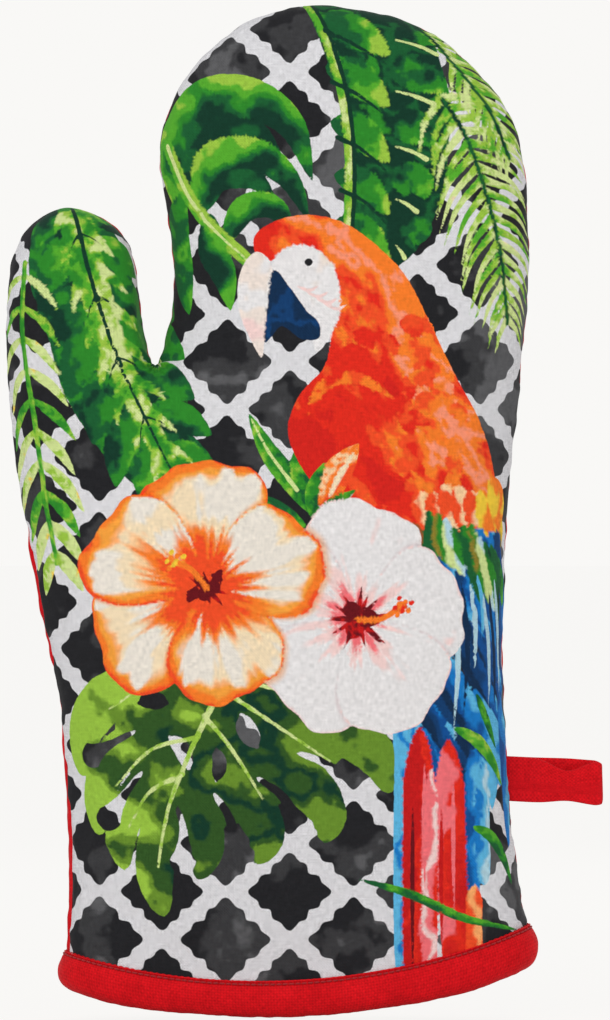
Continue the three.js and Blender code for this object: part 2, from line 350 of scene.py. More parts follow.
def panel(side, inset, cell):
    """One side of the mitt, `inset` under its outer surface, as points, faces and facts."""
    reaches, signs, overs, start, whole = seam_rings(side, inset)
    rings, columns = reaches.shape
    rounds = SEAM + SEAM_INWARD * (reaches + inset)[:, :, None]
    faces = []
    for ring in range(rings - 1):
        for a in range(ring * columns, (ring + 1) * columns - 1):
            quad = (a, a + 1, a + columns + 1, a + columns)
            faces.append(quad if side == BACK else quad[::-1])
    loop, bottom, grid = middle_grid(rounds[-1], cell)
    faces += grid_faces(side, loop, grid, (rings - 1) * columns)
    middle = np.vstack([bottom, grid])
    place = np.vstack([rounds.reshape(-1, 2), middle])
    middle_reach = np.abs(nearest_on(SEAM, middle)[0]) - inset
    reach = np.concatenate([reaches.ravel(), middle_reach])
    sign = np.concatenate([signs.ravel(), np.ones(len(middle))])
    x, height = place.T
    y = side * sign * half_thickness(x, height, reach, inset)
    z = lift(x, height)
    stretch = whole - overs - (side_depth(inset) - reaches)  # what laying it flat adds
    outward = (-SEAM_INWARD * stretch[:, :, None]).reshape(-1, 2)
    no_shift = np.zeros((len(middle), 2))
    far_away = np.full(len(middle), FAR_FROM_SEAM)
    return dict(
        co=np.column_stack([x, y, z]),
        faces=faces,
        flat=np.column_stack([x, z]) + np.vstack([outward, no_shift]),
        over=np.concatenate([(overs - start).ravel(), far_away]),
        at=np.concatenate([np.tile(SEAM_AT, rings), np.zeros(len(middle))]),
    )


# ---- meshes ----------------------------------------------------------------------------


def link(name, data):
    obj = bpy.data.objects.new(name, data)
    bpy.context.scene.collection.objects.link(obj)
    return obj


def mesh_object(name, co, faces, uv=None):
    """A smooth mesh object from points in millimetres. uv is each point's place in the cloth."""
    mesh = bpy.data.meshes.new(name)
    mesh.from_pydata([tuple(p) for p in np.asarray(co) * MM], [], [tuple(f) for f in faces])
    mesh.polygons.foreach_set("use_smooth", [True] * len(mesh.polygons))
    if uv is not None:
        corners = np.zeros(len(mesh.loops), int)
        mesh.loops.foreach_get("vertex_index", corners)
        layer = mesh.uv_layers.new(name="cloth")
        layer.data.foreach_set("uv", (np.asarray(uv)[corners] * MM).ravel())
    return link(name, mesh)


def apply_modifiers(obj):
    bpy.context.view_layer.update()
    graph = bpy.context.evaluated_depsgraph_get()
    made = bpy.data.meshes.new_from_object(obj.evaluated_get(graph))
    obj.modifiers.clear()
    obj.data = made


def set_values(obj, name, values):
    attribute = obj.data.attributes.new(name, "FLOAT", "POINT")
    attribute.data.foreach_set("value", np.asarray(values, np.float32))


def set_colours(obj, name, colours):
    attribute = obj.data.attributes.new(name, "FLOAT_COLOR", "POINT")
    rgba = np.ones((len(colours), 4), np.float32)
    rgba[:, :3] = colours
    attribute.data.foreach_set("color", rgba.ravel())


def read(items, name, width):
    """One property of every item of a mesh, as rows of `width` numbers."""
    values = np.zeros(len(items) * width, np.float32)
    items.foreach_get(name, values)
    return values.reshape(-1, width).astype(float)


def take_values(obj, name):
    """Reads a number at each vertex and takes it off the mesh."""
    attribute = obj.data.attributes[name]
    values = read(attribute.data, "value", 1)[:, 0]
    obj.data.attributes.remove(attribute)
    return values


def subdivide(obj, levels, *columns):
    """Subdivides a mesh, and gives the columns of its points' values on the finer mesh."""
    for number, values in enumerate(columns):
        set_values(obj, f"column_{number}", values)
    modifier = obj.modifiers.new("fine", "SUBSURF")
    modifier.levels = modifier.render_levels = levels
    apply_modifiers(obj)
    return [take_values(obj, f"column_{number}") for number in range(len(columns))]


def thicken(obj, thickness):
    modifier = obj.modifiers.new("ply", "SOLIDIFY")
    modifier.thickness = thickness * MM
    apply_modifiers(obj)


def tube_faces(rings, around, first=0):
    """Faces of a tube of rings of points, closed at both ends."""
    last = first + (rings - 1) * around
    faces = []
    for a in range(first, last, around):
        for j in range(around):
            k = (j + 1) % around
            faces.append((a + j, a + k, a + around + k, a + around + j))
    faces.append(tuple(range(first, first + around))[::-1])
    faces.append(tuple(range(last, last + around)))
    return faces


def get_points(obj):
    return read(obj.data.vertices, "co", 3) / MM


def set_points(obj, co):
    obj.data.vertices.foreach_set("co", (co * MM).ravel())
    obj.data.update()


def push_in(obj, depth):
    """Moves each point inwards along its normal."""
    normals = read(obj.data.vertices, "normal", 3)
    set_points(obj, get_points(obj) - normals * depth[:, None])


SETTLE_FRAMES = 14
SETTLE_LIMIT = 1.5  # the furthest that the cloth may move
SETTLE_FULLNESS = 0.035  # how much longer the cloth is than its seam, close to it
SETTLE_FULL = (22, 4)  # distances from the seam between which that fullness comes in
SETTLE_SEAM = 0.6  # the cloth is held up to this far from the seam
SETTLE_HEM = 12  # and up to this height
SETTLE_FREE = (13, 34)  # heights between which its movement comes in


def weigh(obj, name, weights):
    """A vertex group whose weights go in steps of a tenth."""
    group = obj.vertex_groups.new(name=name)
    steps = np.round(weights, 1)
    for weight in np.unique(steps[steps > 0]):
        group.add([int(i) for i in np.flatnonzero(steps == weight)], float(weight), "REPLACE")


def settle(obj, over, height):
    """Lets a stuffed panel's cloth find its own folds, held at its seam and its raw edge."""
    weigh(obj, "held", np.where((over < SETTLE_SEAM) | (height < SETTLE_HEM), 1.0, 0.0))
    weigh(obj, "full", smoothstep(*SETTLE_FULL, over))
    modifier = obj.modifiers.new("settle", "CLOTH")
    cloth = modifier.settings
    cloth.quality = 6
    cloth.mass = 0.15
    cloth.tension_stiffness = cloth.compression_stiffness = 20
    cloth.shear_stiffness = 6
    cloth.bending_stiffness = 0.2
    cloth.vertex_group_mass = "held"
    cloth.vertex_group_shrink = "full"
    cloth.shrink_min = -0.004
    cloth.shrink_max = -SETTLE_FULLNESS
    cloth.use_pressure = True
    cloth.uniform_pressure_force = 1.2
    cloth.effector_weights.gravity = 0
    before = get_points(obj)
    for frame in range(1, SETTLE_FRAMES + 1):
        bpy.context.scene.frame_set(frame)
    apply_modifiers(obj)
    bpy.context.scene.frame_set(1)
    obj.vertex_groups.clear()
    moved = get_points(obj) - before
    far = np.linalg.norm(moved, axis=1) + 1e-9
    share = SETTLE_LIMIT * np.tanh(far / SETTLE_LIMIT) / far * smoothstep(*SETTLE_FREE, height)
    set_points(obj, before + moved * share[:, None])


def cloth_panel(name, side, inset, cell, levels):
    """A panel as a fine mesh with its cloth coordinates and its distances from the seam."""
    made = panel(side, inset, cell)
    obj = mesh_object(name, made["co"], made["faces"], made["flat"])
    if inset == 0:
        settle(obj, made["over"], made["co"][:, 2])
    over, at, *flat = subdivide(obj, levels, made["over"], made["at"], *made["flat"].T)
    return obj, over, at, np.column_stack(flat)


# ---- the cloth pieces ------------------------------------------------------------------

GROOVE_DEPTH = 1.0  # of the pinch along the seam
GROOVE_WIDTH = 1.5
PUCKER_DEPTH = 0.5
PUCKER_LENGTHS = (5.2, 2.7)  # along the seam, of the long ones and the short ones
PUCKER_REACH = 5.0
BROAD_DENT = 46  # width of the padding's broad dents
FINE_DENT = 14  # and of the small ones among them
DRAG_MARKS = 9  # creases that fan out of the crotch
DRAG_DEPTH = 0.5
DRAG_REACH = 17
SHELL_DENTS = {FRONT: (3, 1.5), BACK: (11, 2.8)}  # the dents' seed, and their depth
LINING_CELL = 5.0
LINING_PLY = 0.5
PAD_CELL = 4.5
PAD_FLUFF = 0.5


def relax_cloth(obj, over, at, seed, dents):
    """Gives a stuffed panel its pinched seam, its puckers and its soft dents."""
    plan = get_points(obj)[:, [0, 2]]
    seam = np.column_stack([at, np.zeros(len(at))])
    long, short = (noise(seam, size, seed + k) for k, size in enumerate(PUCKER_LENGTHS))
    ripple = long + 0.5 * short - 0.75
    sink = GROOVE_DEPTH * np.exp(-((over / GROOVE_WIDTH) ** 2))
    sink += PUCKER_DEPTH * 2 * ripple * np.exp(-over / PUCKER_REACH) * smoothstep(0, 1.2, over)
    sink += dents * (clouds(plan, BROAD_DENT, seed + 4, 2) - 0.5) * smoothstep(4, 26, over)
    fine = clouds(plan * (1, 0.7), FINE_DENT, seed + 8, 2) - 0.5
    sink += 0.4 * dents * fine * smoothstep(2, 12, over)
    away = plan - np.array(CROTCH)
    angle = np.arctan2(away[:, 0], -away[:, 1])
    drag = np.sin(angle * DRAG_MARKS + 1.3) * np.exp(-np.hypot(*away.T) / DRAG_REACH)
    sink += DRAG_DEPTH * drag * smoothstep(1, 6, over)
    push_in(obj, sink)


def flat_area(obj):
    """Area of the cut that a sheet's cloth coordinates cover, in square metres."""
    mesh = obj.data
    uv = read(mesh.uv_layers["cloth"].data, "uv", 2)
    area = 0.0
    for face in mesh.polygons:
        corner = uv[list(face.loop_indices)]
        following = np.roll(corner, -1, axis=0)
        area += abs(corner[:, 0] @ following[:, 1] - corner[:, 1] @ following[:, 0]) / 2
    return area


def shell(name, side, node):
    """An outer panel, and its points' places in the flat cloth."""
    obj, over, at, flat = cloth_panel(name, side, 0.0, CELL, 2)
    seed, dents = SHELL_DENTS[side]
    relax_cloth(obj, over, at, seed, dents)
    flat_area(obj)
    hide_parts(node)
    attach(obj, "mitt")
    return obj, flat


def make_lining(name, side, node):
    obj = cloth_panel(name, side, LINING_DEPTH, LINING_CELL, 1)[0]
    flat_area(obj)
    thicken(obj, LINING_PLY)
    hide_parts(node)
    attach(obj, "mitt")
    return obj


def make_wadding(name, side, node):
    """A wadding as a closed pad, lofted between its two faces."""
    outer, inner = PAD_DEPTHS
    obj, _, _, flat = cloth_panel(name, side, outer, PAD_CELL, 1)
    push_in(obj, PAD_FLUFF * (0.6 - clouds(flat, 7, 5)))
    thicken(obj, inner - outer)
    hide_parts(node)
    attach(obj, "mitt")
    return obj


# ---- the cuff: binding and its stitches ------------------------------------------------

BINDING_POINTS = 400  # round the cuff
BINDING_PLY = 0.8
BINDING_FLARE = 0.08 / 75  # growth of its width with x, as it is wider on the loop's side
BINDING_CORNER_X = 76  # distance of its corners from the cuff's middle
BINDING_CORNER = 0.06  # how much of that distance a corner takes up
BINDING_BULGE = 1.1  # how far a corner pushes out near the hem
BINDING_TUCK = 0.4  # how far it is drawn in, all the way up
BINDING_DROOP = 1.8  # how much lower its outer parts hang than the hem's arc
STITCH_PULL = (0.35, 0.2)  # how far the stitches pull it in, on average and each way
STITCH_GROOVE = 0.75  # how wide that pull reaches
WRINKLE_DEPTH = 0.55
WRINKLE_SIZE = (9, 2.6)
STITCH_HEIGHT = 12.0
STITCH_ROW = 9  # of the section's rows once smoothed, the one that is sewn
OUTER_ROW = 8  # the one whose length round the cuff is the strip's length
STITCH_PITCH = 2.05
STITCH_RADIUS = 0.27
STITCH_DIP = 0.45
STITCH_GAP = 0.06  # share of the pitch that is free at each end of a stitch
STITCH_STEPS = 9  # rings of points along a stitch
STITCH_SIDES = 8

# The binding's section, from its outer edge down and round to its inner one: how far inside
# the mitt's surface, and how far up from the hem
BINDING_SECTION = [
    (-0.15, 13.1), (-0.7, 13.2), (-1.05, 12.8), (-0.95, 12.1), (-1.35, 11.2), (-1.8, 9.8),
    (-2.05, 8.0), (-2.0, 6.0), (-1.5, 4.0), (-0.4, 2.3), (1.3, 1.3), (3.1, 1.0), (4.9, 1.4),
    (6.5, 2.5), (7.4, 4.1), (7.8, 6.0), (7.9, 8.1), (7.7, 10.2), (7.3, 11.4), (6.9, 12.1),
    (7.1, 12.8), (6.8, 13.2), (6.2, 13.1),
]


def cuff_shares(count):
    """Places from left to right on one side of the cuff, evenly spaced over the cloth."""
    share = np.linspace(0, 1, 2000)
    x, y = cuff_place(share, FRONT, 0.0, 0.0)[:, :2].T
    s = lengths(np.column_stack([x, y]))
    return np.interp(np.linspace(0, s[-1], count), s, share)


def cuff_place(share, side, inset, height):
    """A point by its share of the way from left seam to right seam at a height."""
    third = len(SEAM) // 3
    left = np.interp(height, SEAM[:third, 1], SEAM[:third, 0]) + inset
    right = np.interp(-height, -SEAM[-third:, 1], SEAM[-third:, 0]) - inset
    x = mix(left, right, share)
    reach = np.minimum(x - left, right - x)
    y = side * half_thickness(x, np.maximum(height, 0.0), reach, inset)
    z = lift(x, np.maximum(height, 0.0)) + np.minimum(height, 0.0)
    return np.column_stack(np.broadcast_arrays(x, y, z))


def cuff_ring(inset, height):
    """A closed ring of places round the cuff. Both depths may vary from place to place."""
    shares = cuff_shares(BINDING_POINTS // 2 + 1)
    front = cuff_place(shares[:-1], FRONT, inset, height)
    back = cuff_place(shares[:0:-1], BACK, inset, height)
    return np.vstack([front, back])


def bound_ring(inset, height):
    """A ring round the binding, which bulges at the cuff's corners and droops beside them."""
    ring = cuff_ring(inset, height)
    outside = inset < 3
    short_by = 1 - np.abs(ring[:, 0] + 2) / BINDING_CORNER_X
    corner = np.exp(-(short_by / BINDING_CORNER) ** 2) * outside
    bulge = BINDING_BULGE * smoothstep(10, 4, height) - BINDING_TUCK
    ring[:, 0] += np.sign(ring[:, 0]) * corner * bulge
    x = ring[:, 0]
    ring[:, 2] = lift(x, height) + height * BINDING_FLARE * x
    ring[:, 2] -= BINDING_DROOP * smoothstep(22, 62, np.abs(x + 4)) * smoothstep(9, 2, height)
    return ring


def make_binding():
    """The strip's section taken round the cuff: an open tube, with its faces turned over."""
    profile = spline(BINDING_SECTION, 3)
    rings = np.array([bound_ring(inset, height) for inset, height in profile])
    count, around = rings.shape[:2]
    faces = [(first, *rest[::-1]) for first, *rest in tube_faces(count, around)[:-2]]
    along = lengths(rings[OUTER_ROW])
    down = lengths(profile)
    sewn, whole = down[STITCH_ROW], down[-1]
    u, v = np.meshgrid(along, down)
    bias = np.column_stack([(u + v).ravel(), (u - v).ravel()]) / math.sqrt(2)
    obj = mesh_object("binding", rings.reshape(-1, 3), faces, bias)
    bias = np.column_stack(subdivide(obj, 1, *bias.T))
    along = bias.sum(axis=1) / math.sqrt(2)
    down = (bias[:, 0] - bias[:, 1]) / math.sqrt(2)
    from_stitch = np.minimum(np.abs(down - sewn), np.abs(down - (whole - sewn)))
    pull = STITCH_PULL[0] + STITCH_PULL[1] * np.cos(2 * math.pi * along / STITCH_PITCH)
    sink = pull * np.exp(-((from_stitch / STITCH_GROOVE) ** 2))
    wrinkle = clouds(bias / WRINKLE_SIZE, 1, 21) - 0.5
    sink += WRINKLE_DEPTH * wrinkle * smoothstep(0.8, 4, from_stitch)
    push_in(obj, sink)
    thicken(obj, BINDING_PLY)
    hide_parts("cuff_binding")
    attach(obj, "mitt")
    return obj


def stitch_row(name, path, outward):
    """A row of stitches along a closed path, each a short thread that dips in at its ends."""
    closed = np.vstack([path, path[:1]])
    outs = np.vstack([outward, outward[:1]])
    s = lengths(closed)
    stitches = int(round(s[-1] / STITCH_PITCH))
    shares = np.linspace(STITCH_GAP, 1 - STITCH_GAP, STITCH_STEPS)
    t = np.linspace(-1, 1, STITCH_STEPS)
    turn = np.linspace(0, 2 * math.pi, STITCH_SIDES, endpoint=False)[:, None]
    co, faces = [], []
    for number in range(stitches):
        at = (number + shares) / stitches * s[-1]
        out = between(outs, s, at)
        centre = between(closed, s, at) + out * (STITCH_DIP * (0.35 - np.abs(t) ** 3))[:, None]
        along = unit(np.gradient(centre, axis=0))
        over = unit(np.cross(along, out))
        up = np.cross(over, along)
        thick = STITCH_RADIUS * np.sqrt(np.clip(1 - np.abs(t) ** 5, 0.05, 1))
        faces += tube_faces(STITCH_STEPS, STITCH_SIDES, len(co) * STITCH_SIDES)
        for c, a, b, r in zip(centre, over, up, thick):
            co.append(c + r * (np.cos(turn) * a + np.sin(turn) * b))
    return mesh_object(name, np.vstack(co), faces)


def make_cuff_stitches(name, inset, facing, node):
    """Stitches round the cuff, which show on its outside when `facing` is 1, inside when -1."""
    ring = bound_ring(inset, STITCH_HEIGHT)
    along = np.roll(ring, -1, axis=0) - np.roll(ring, 1, axis=0)
    out = np.column_stack([along[:, 1], -along[:, 0], np.zeros(len(ring))]) * facing
    obj = stitch_row(name, ring, unit(out))
    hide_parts(node)
    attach(obj, "mitt")
    return obj


# ---- the hanging loop ------------------------------------------------------------------

LOOP_LOW, LOOP_HIGH = (corner[2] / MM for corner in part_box("hanging_loop"))
LOOP_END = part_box("hanging_loop")[1][0] / MM
LOOP_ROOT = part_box("loop_tail")[0][0] / MM
SEAM_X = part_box("loop_tail")[1][0] / MM
LOOP_PLY = 1.7
# Either ply's centre line: how far along the loop, and how far off its middle plane
LOOP_PLAN = [(0.0, 0.95), (3, 0.95), (8, 1.0), (13, 1.5), (19, 3.0), (25, 3.3), (31, 2.3), (35, 1.5)]
LOOP_FOLD = 1.1  # radius of the fold's centre line
LOOP_STEPS = 150  # rings of points along the strip
LOOP_AROUND = 30  # points in each
LOOP_DIP_X = 87.0  # where the upper edge sags
LOOP_DIP_REACH = 6.5
FRONT_DIP = 3.7
BACK_DIP = -0.2
LOOP_CORNER = 3.0  # length over which the far end's corners are rounded
LOOP_LEVEL_X = 84  # the strip droops from here on
LOOP_POWERS = (0.45, 0.32)  # of its section across and up, lower being squarer
LOOP_BELLY = 0.35  # how far its middle bows out and in along its length
LOOP_CREASE = 0.6  # depth of the creases in its sides


def loop_path():
    """Centre line of the folded strip in plan, from its front tail round to its back one."""
    reach = LOOP_END - LOOP_ROOT - LOOP_FOLD - LOOP_PLY / 2
    plan = np.array(LOOP_PLAN)
    plan = plan * [reach / plan[-1, 0], 1]
    ply = spline(plan, 12)
    turn = np.linspace(-math.pi / 2, math.pi / 2, 17)
    squash = plan[-1, 1]
    fold = np.column_stack([reach + LOOP_FOLD * np.cos(turn), squash * np.sin(turn)])
    front = ply[:-1] * [1, -1]
    back = ply[:-1][::-1]
    return np.vstack([front, fold, back]) + [LOOP_ROOT, 0]


def loop_edges(x, dip_depth):
    """Lower and upper edge of the strip at a place along it."""
    dip = np.exp(-(((x - LOOP_DIP_X) / LOOP_DIP_REACH) ** 2))
    past = ((x - (LOOP_END - LOOP_CORNER)) / (LOOP_CORNER + 0.05)).clip(0)
    corner = 1 - np.sqrt(np.clip(1 - past**2, 0.0, 1))
    low = LOOP_LOW - 0.8 + 1.1 * dip + 1.6 * corner - 0.055 * (x - LOOP_LEVEL_X)
    high = LOOP_HIGH + 0.1 - dip_depth * dip - 2.6 * corner - 0.05 * (x - LOOP_LEVEL_X)
    return np.array([low, high])


def loop_rings(path, across, height):
    """Points of the strip round its path. across and height give its section's outline."""
    along = unit(np.gradient(path, axis=0))
    out = np.column_stack([along[:, 1], -along[:, 0]])
    rings = []
    for number, (place, side) in enumerate(zip(path, out)):
        share = number / (len(path) - 1)
        edges = loop_edges(place[0], FRONT_DIP), loop_edges(place[0], BACK_DIP)
        low, high = mix(*edges, smoothstep(0.46, 0.54, share))
        belly = LOOP_BELLY * math.sin(share * 34) * height * (1 - height**2)
        xy = place + side * (across + belly)[:, None]
        rings.append(np.column_stack([xy, mix(low, high, (height + 1) / 2)]))
    return np.vstack(rings)


def make_loop():
    path = loop_path()
    s = np.linspace(0, lengths(path)[-1], LOOP_STEPS)
    turn = np.linspace(0, 2 * math.pi, LOOP_AROUND, endpoint=False)
    cosine, sine = np.cos(turn), np.sin(turn)
    across = LOOP_PLY / 2 * (np.sign(cosine) * np.abs(cosine) ** LOOP_POWERS[0])
    height = np.sign(sine) * np.abs(sine) ** LOOP_POWERS[1]
    co = loop_rings(resample(path, s), across, height)
    v = lengths(np.column_stack([across, height * 7]))
    uv = np.column_stack([np.repeat(s, LOOP_AROUND), np.tile(v, LOOP_STEPS)])
    obj = mesh_object("loop_strip", co, tube_faces(LOOP_STEPS, LOOP_AROUND), uv)
    subdivide(obj, 2)
    co = get_points(obj)
    crease = noise(co[:, [0, 2]] * [1, 0.4], 3.1, 31) - 0.5
    crease += 0.4 * (noise(co[:, [0, 2]] * [1, 0.8], 1.2, 33) - 0.5)
    crease *= smoothstep(SEAM_X, SEAM_X + 4, co[:, 0])
    co[:, 1] += np.sign(co[:, 1]) * LOOP_CREASE * crease
    set_points(obj, co)
    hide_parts("hanging_loop", "loop_tail")
    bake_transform(obj)
    return obj


# ---- inks ------------------------------------------------------------------------------


def ink(red, green, blue):
    """A colour given as on a screen, from 0 to 255, made linear."""
    value = np.array([red, green, blue]) / 255
    return np.where(value < 0.04045, value / 12.92, ((value + 0.055) / 1.055) ** 2.4)


GROUND = ink(218, 217, 220)
COAL = ink(33, 33, 36)
GREY = ink(58, 58, 60)
ASH = ink(90, 90, 92)
FOREST = ink(14, 56, 40)
PINE = ink(24, 92, 48)
LEAF = ink(44, 134, 40)
GRASS = ink(84, 168, 44)
LIME = ink(152, 194, 66)
MOSS = ink(104, 142, 44)
OLIVE_LEAF = ink(48, 84, 34)
PALE_LIME = ink(206, 222, 146)
BLOOD = ink(196, 24, 24)
CRIMSON = ink(212, 34, 26)
RED = ink(226, 42, 26)
SCARLET = ink(240, 78, 36)
ORANGE = ink(246, 124, 40)
AMBER = ink(244, 160, 62)
APRICOT = ink(250, 170, 104)
SALMON = ink(248, 146, 112)
PEACH = ink(248, 204, 156)
OLIVE = ink(140, 124, 44)
UMBER = ink(150, 84, 40)
CREAM = ink(242, 220, 184)
YELLOW = ink(240, 200, 60)
BLUSH = ink(240, 208, 204)
PETAL = ink(230, 227, 227)
IVORY = ink(234, 226, 214)
MAROON = ink(104, 16, 24)
NAVY = ink(14, 44, 76)
INDIGO = ink(16, 60, 108)
DEEP_BLUE = ink(14, 78, 146)
BLUE = ink(22, 120, 196)
SKY = ink(92, 180, 222)
PINK = ink(240, 112, 118)
BONE = ink(236, 222, 212)
FROST = ink(176, 210, 222)


def new_layer(plan):
    """A layer of ink over the cloth: how far inside it each point is, and its colour."""
    return dict(plan=plan, cover=np.full(len(plan), -9.0), tone=np.zeros((len(plan), 3)))


def near_to(layer, line, margin):
    """Numbers of the layer's points in a box round a line."""
    low, high = line.min(0) - margin - 4, line.max(0) + margin + 4
    return np.flatnonzero(((layer["plan"] > low) & (layer["plan"] < high)).all(1))


def lay(layer, near, inside, tone):
    """Lays a shape over what the layer has at the points `near`."""
    cover = layer["cover"][near]
    take = inside > np.minimum(cover, 0)
    layer["tone"][near[take]] = np.broadcast_to(tone, (len(near), 3))[take]
    layer["cover"][near] = np.maximum(cover, inside)


def stroke(layer, points, half_width, paint, shape, steps=6, within=False):
    """A brush stroke along points. paint is given places, share along and share across.
    Within the layer's shapes, it only changes their colour."""
    line = spline(points, steps)
    near = near_to(layer, line, half_width)
    place = layer["plan"][near]
    across, share = nearest_on(line, place)
    inside = half_width * shape(share) - np.abs(across)
    if within:
        inside = np.where(layer["cover"][near] > 0, inside, -9.0)
    lay(layer, near, inside, paint(place, share, across / half_width))


def strokes(layer, shape, rows):
    """Strokes of one shape, each given as its half width, its paint and its points."""
    for half_width, paint, *points in rows:
        stroke(layer, points, half_width, paint, shape)


def plume(layer, root, reach, bow, *style):
    """A stroke from its root by its reach, with its middle moved by its bow."""
    stroke(layer, [root, root + np.array(reach) / 2 + bow, root + reach], *style)


def area(layer, points, paint, steps=6):
    """A closed shape round points. paint is given places, how far inside the edge they are,
    and how far from it."""
    loop = spline(points, steps, closed=True)
    near = near_to(layer, loop, 0)
    place = layer["plan"][near]
    gap = np.abs(nearest_on(np.vstack([loop, loop[:1]]), place)[0])
    inside = np.where(is_inside(loop, place), gap, -gap)
    lay(layer, near, inside, paint(place, inside, gap))


def cut(layer, points, half_width, shape):
    """Takes a slit or a hole out of a layer."""
    line = spline(points, 6)
    near = near_to(layer, line, half_width * 3)
    across, share = nearest_on(line, layer["plan"][near])
    outside = np.abs(across) - half_width * shape(share)
    layer["cover"][near] = np.minimum(layer["cover"][near], outside)


# How wide a stroke is, at each share of the way along it


def oval(share):
    return np.sqrt(np.clip(4 * share * (1 - share), 0.06, 1))


def slot(share):
    """Widest at the leaf's edge, and round at its inner end."""
    return (0.62 + 1.9 * (1 - share) ** 4) * np.sqrt(np.clip(1 - share**6, 0, 1))


def taper(share):
    return 1 - 0.6 * share


def lobe(share):
    return np.clip(np.sin(math.pi * np.clip(share, 0, 1) ** 0.8), 0, 1) ** 0.75


def finger(share):
    """Of one width, and round at its far end."""
    return (0.86 + 0.2 * np.sin(math.pi * share)) * np.sqrt(np.clip(1 - share**5, 0, 1))


def blade(share):
    return (1 - share) ** 0.7


def feather(share):
    return np.minimum(1, 0.45 + 1.6 * share) * (1 - share**5)


def quill(share):
    """From a point at its top to its full width."""
    return np.sqrt(np.clip(6 * share, 0, 1)) * np.sqrt(np.clip(1 - share**9, 0, 1))


def even(share):
    return np.ones_like(share)


def picked(colours, value):
    """Colours in turn as value goes from 0 to 1, with short steps between them."""
    table = np.array(colours)
    level = np.clip(value, 0, 1) * (len(colours) - 1)
    low = np.minimum(np.floor(level), len(colours) - 2).astype(int)
    blend = smoothstep(0.28, 0.72, level - low)
    return mix(table[low], table[low + 1], blend[:, None])


def washes(colours, scale, seed):
    """A painter's washes: patches of the colours, running into each other."""

    def paint(place, *_):
        return picked(colours, (clouds(place, scale, seed) - 0.25) * 2)

    return paint


def plain(colour):
    return lambda place, *_: colour


def leaf_paint(colours, seed, light=0.35, grain=4.5, along=0.22, ribs=0.12):
    """Washes along a leaf, with a few fine ribs. Its colours move on towards its tip as far as
    `along` gives, and towards one side as far as `light` gives."""

    def paint(place, share, across):
        value = (clouds(place, grain, seed) - 0.3) * 1.6
        value += light * across + along * (share - 0.5)
        value += ribs * np.sin(share * 38 + np.abs(across) * 5)
        return picked(colours, value)

    return paint


def turned(direction, angle):
    c, s = math.cos(angle), math.sin(angle)
    return np.array([c * direction[0] - s * direction[1], s * direction[0] + c * direction[1]])


def frond(layer, rib, side, count, start, end, reach, half_width, slant, paints, shape=lobe):
    """Leaflets along one side of a rib. reach, half_width and slant each go from the first
    leaflet to the last, with the slant in degrees from the rib."""
    line = spline(rib)
    s = lengths(line)
    for k in range(count):
        t = k / (count - 1)
        at = min(mix(start, end, t) * s[-1], s[-1] - 1)
        root, ahead = between(line, s, [at, at + 1])
        direction = (ahead - root) / np.linalg.norm(ahead - root)
        jitter = hashed(k, side, count) - 0.5
        angle = side * math.radians(np.interp(t, (0, 1), slant) * (1 + 0.14 * jitter))
        length = np.interp(t, np.linspace(0, 1, len(reach)), reach) * (1 + 0.16 * jitter)
        middle = root + turned(direction, angle * 1.12) * length * 0.5
        tip = root + turned(direction, angle * 0.92) * length
        wide = np.interp(t, np.linspace(0, 1, len(half_width)), half_width)
        stroke(layer, [root, middle, tip], wide, paints[k % len(paints)], shape)


# ---- the printed pattern ---------------------------------------------------------------

# All places here are (x, z) in the flat cloth, and every shape is drawn over the ones before it

TRELLIS_STEP = (41.4, 31.2)
TRELLIS_START = (-24.1, 26.4)
TRELLIS_SIZES = (15.2, 14.0)  # its cells come in two sets, one between the other


def print_trellis(layer):
    """Charcoal quatrefoils with scalloped sides on a diamond lattice, two sizes in turn.
    Their wash is thinner towards the right, and in a cell here and there."""
    plan = layer["plan"]
    wash = 2.1 * (clouds(plan, 13, 41, 4) - 0.34) + 0.0036 * plan[:, 0]
    for offset, size in zip((0.0, 0.5), TRELLIS_SIZES):
        local = (plan - TRELLIS_START) / TRELLIS_STEP + offset
        number = np.round(local)
        local = (local - number) * TRELLIS_STEP * (1, 1.06)
        angle = np.arctan2(local[:, 1], local[:, 0])
        radius = 0.785 + 0.115 * np.cos(4 * angle) + 0.012 * np.cos(8 * angle)
        inside = size * (radius + 0.046 * np.cos(12 * angle)) - np.hypot(*local.T)
        layer["cover"] = np.maximum(layer["cover"], inside)
        wash += 0.3 * ((hashed(number[:, 0], number[:, 1], 8 + offset) > 0.74) & (inside > -1))
    layer["tone"][:] = picked([COAL, COAL, GREY, ASH], wash)


def print_leaves(layer, veins):
    print_banana_leaf(layer, veins)
    print_right_palm(layer)
    print_curled_leaf(layer, veins)
    print_thumb_leaf(layer, veins)
    print_left_palm(layer)
    print_monstera(layer, veins)
    print_bud_leaves(layer, veins)


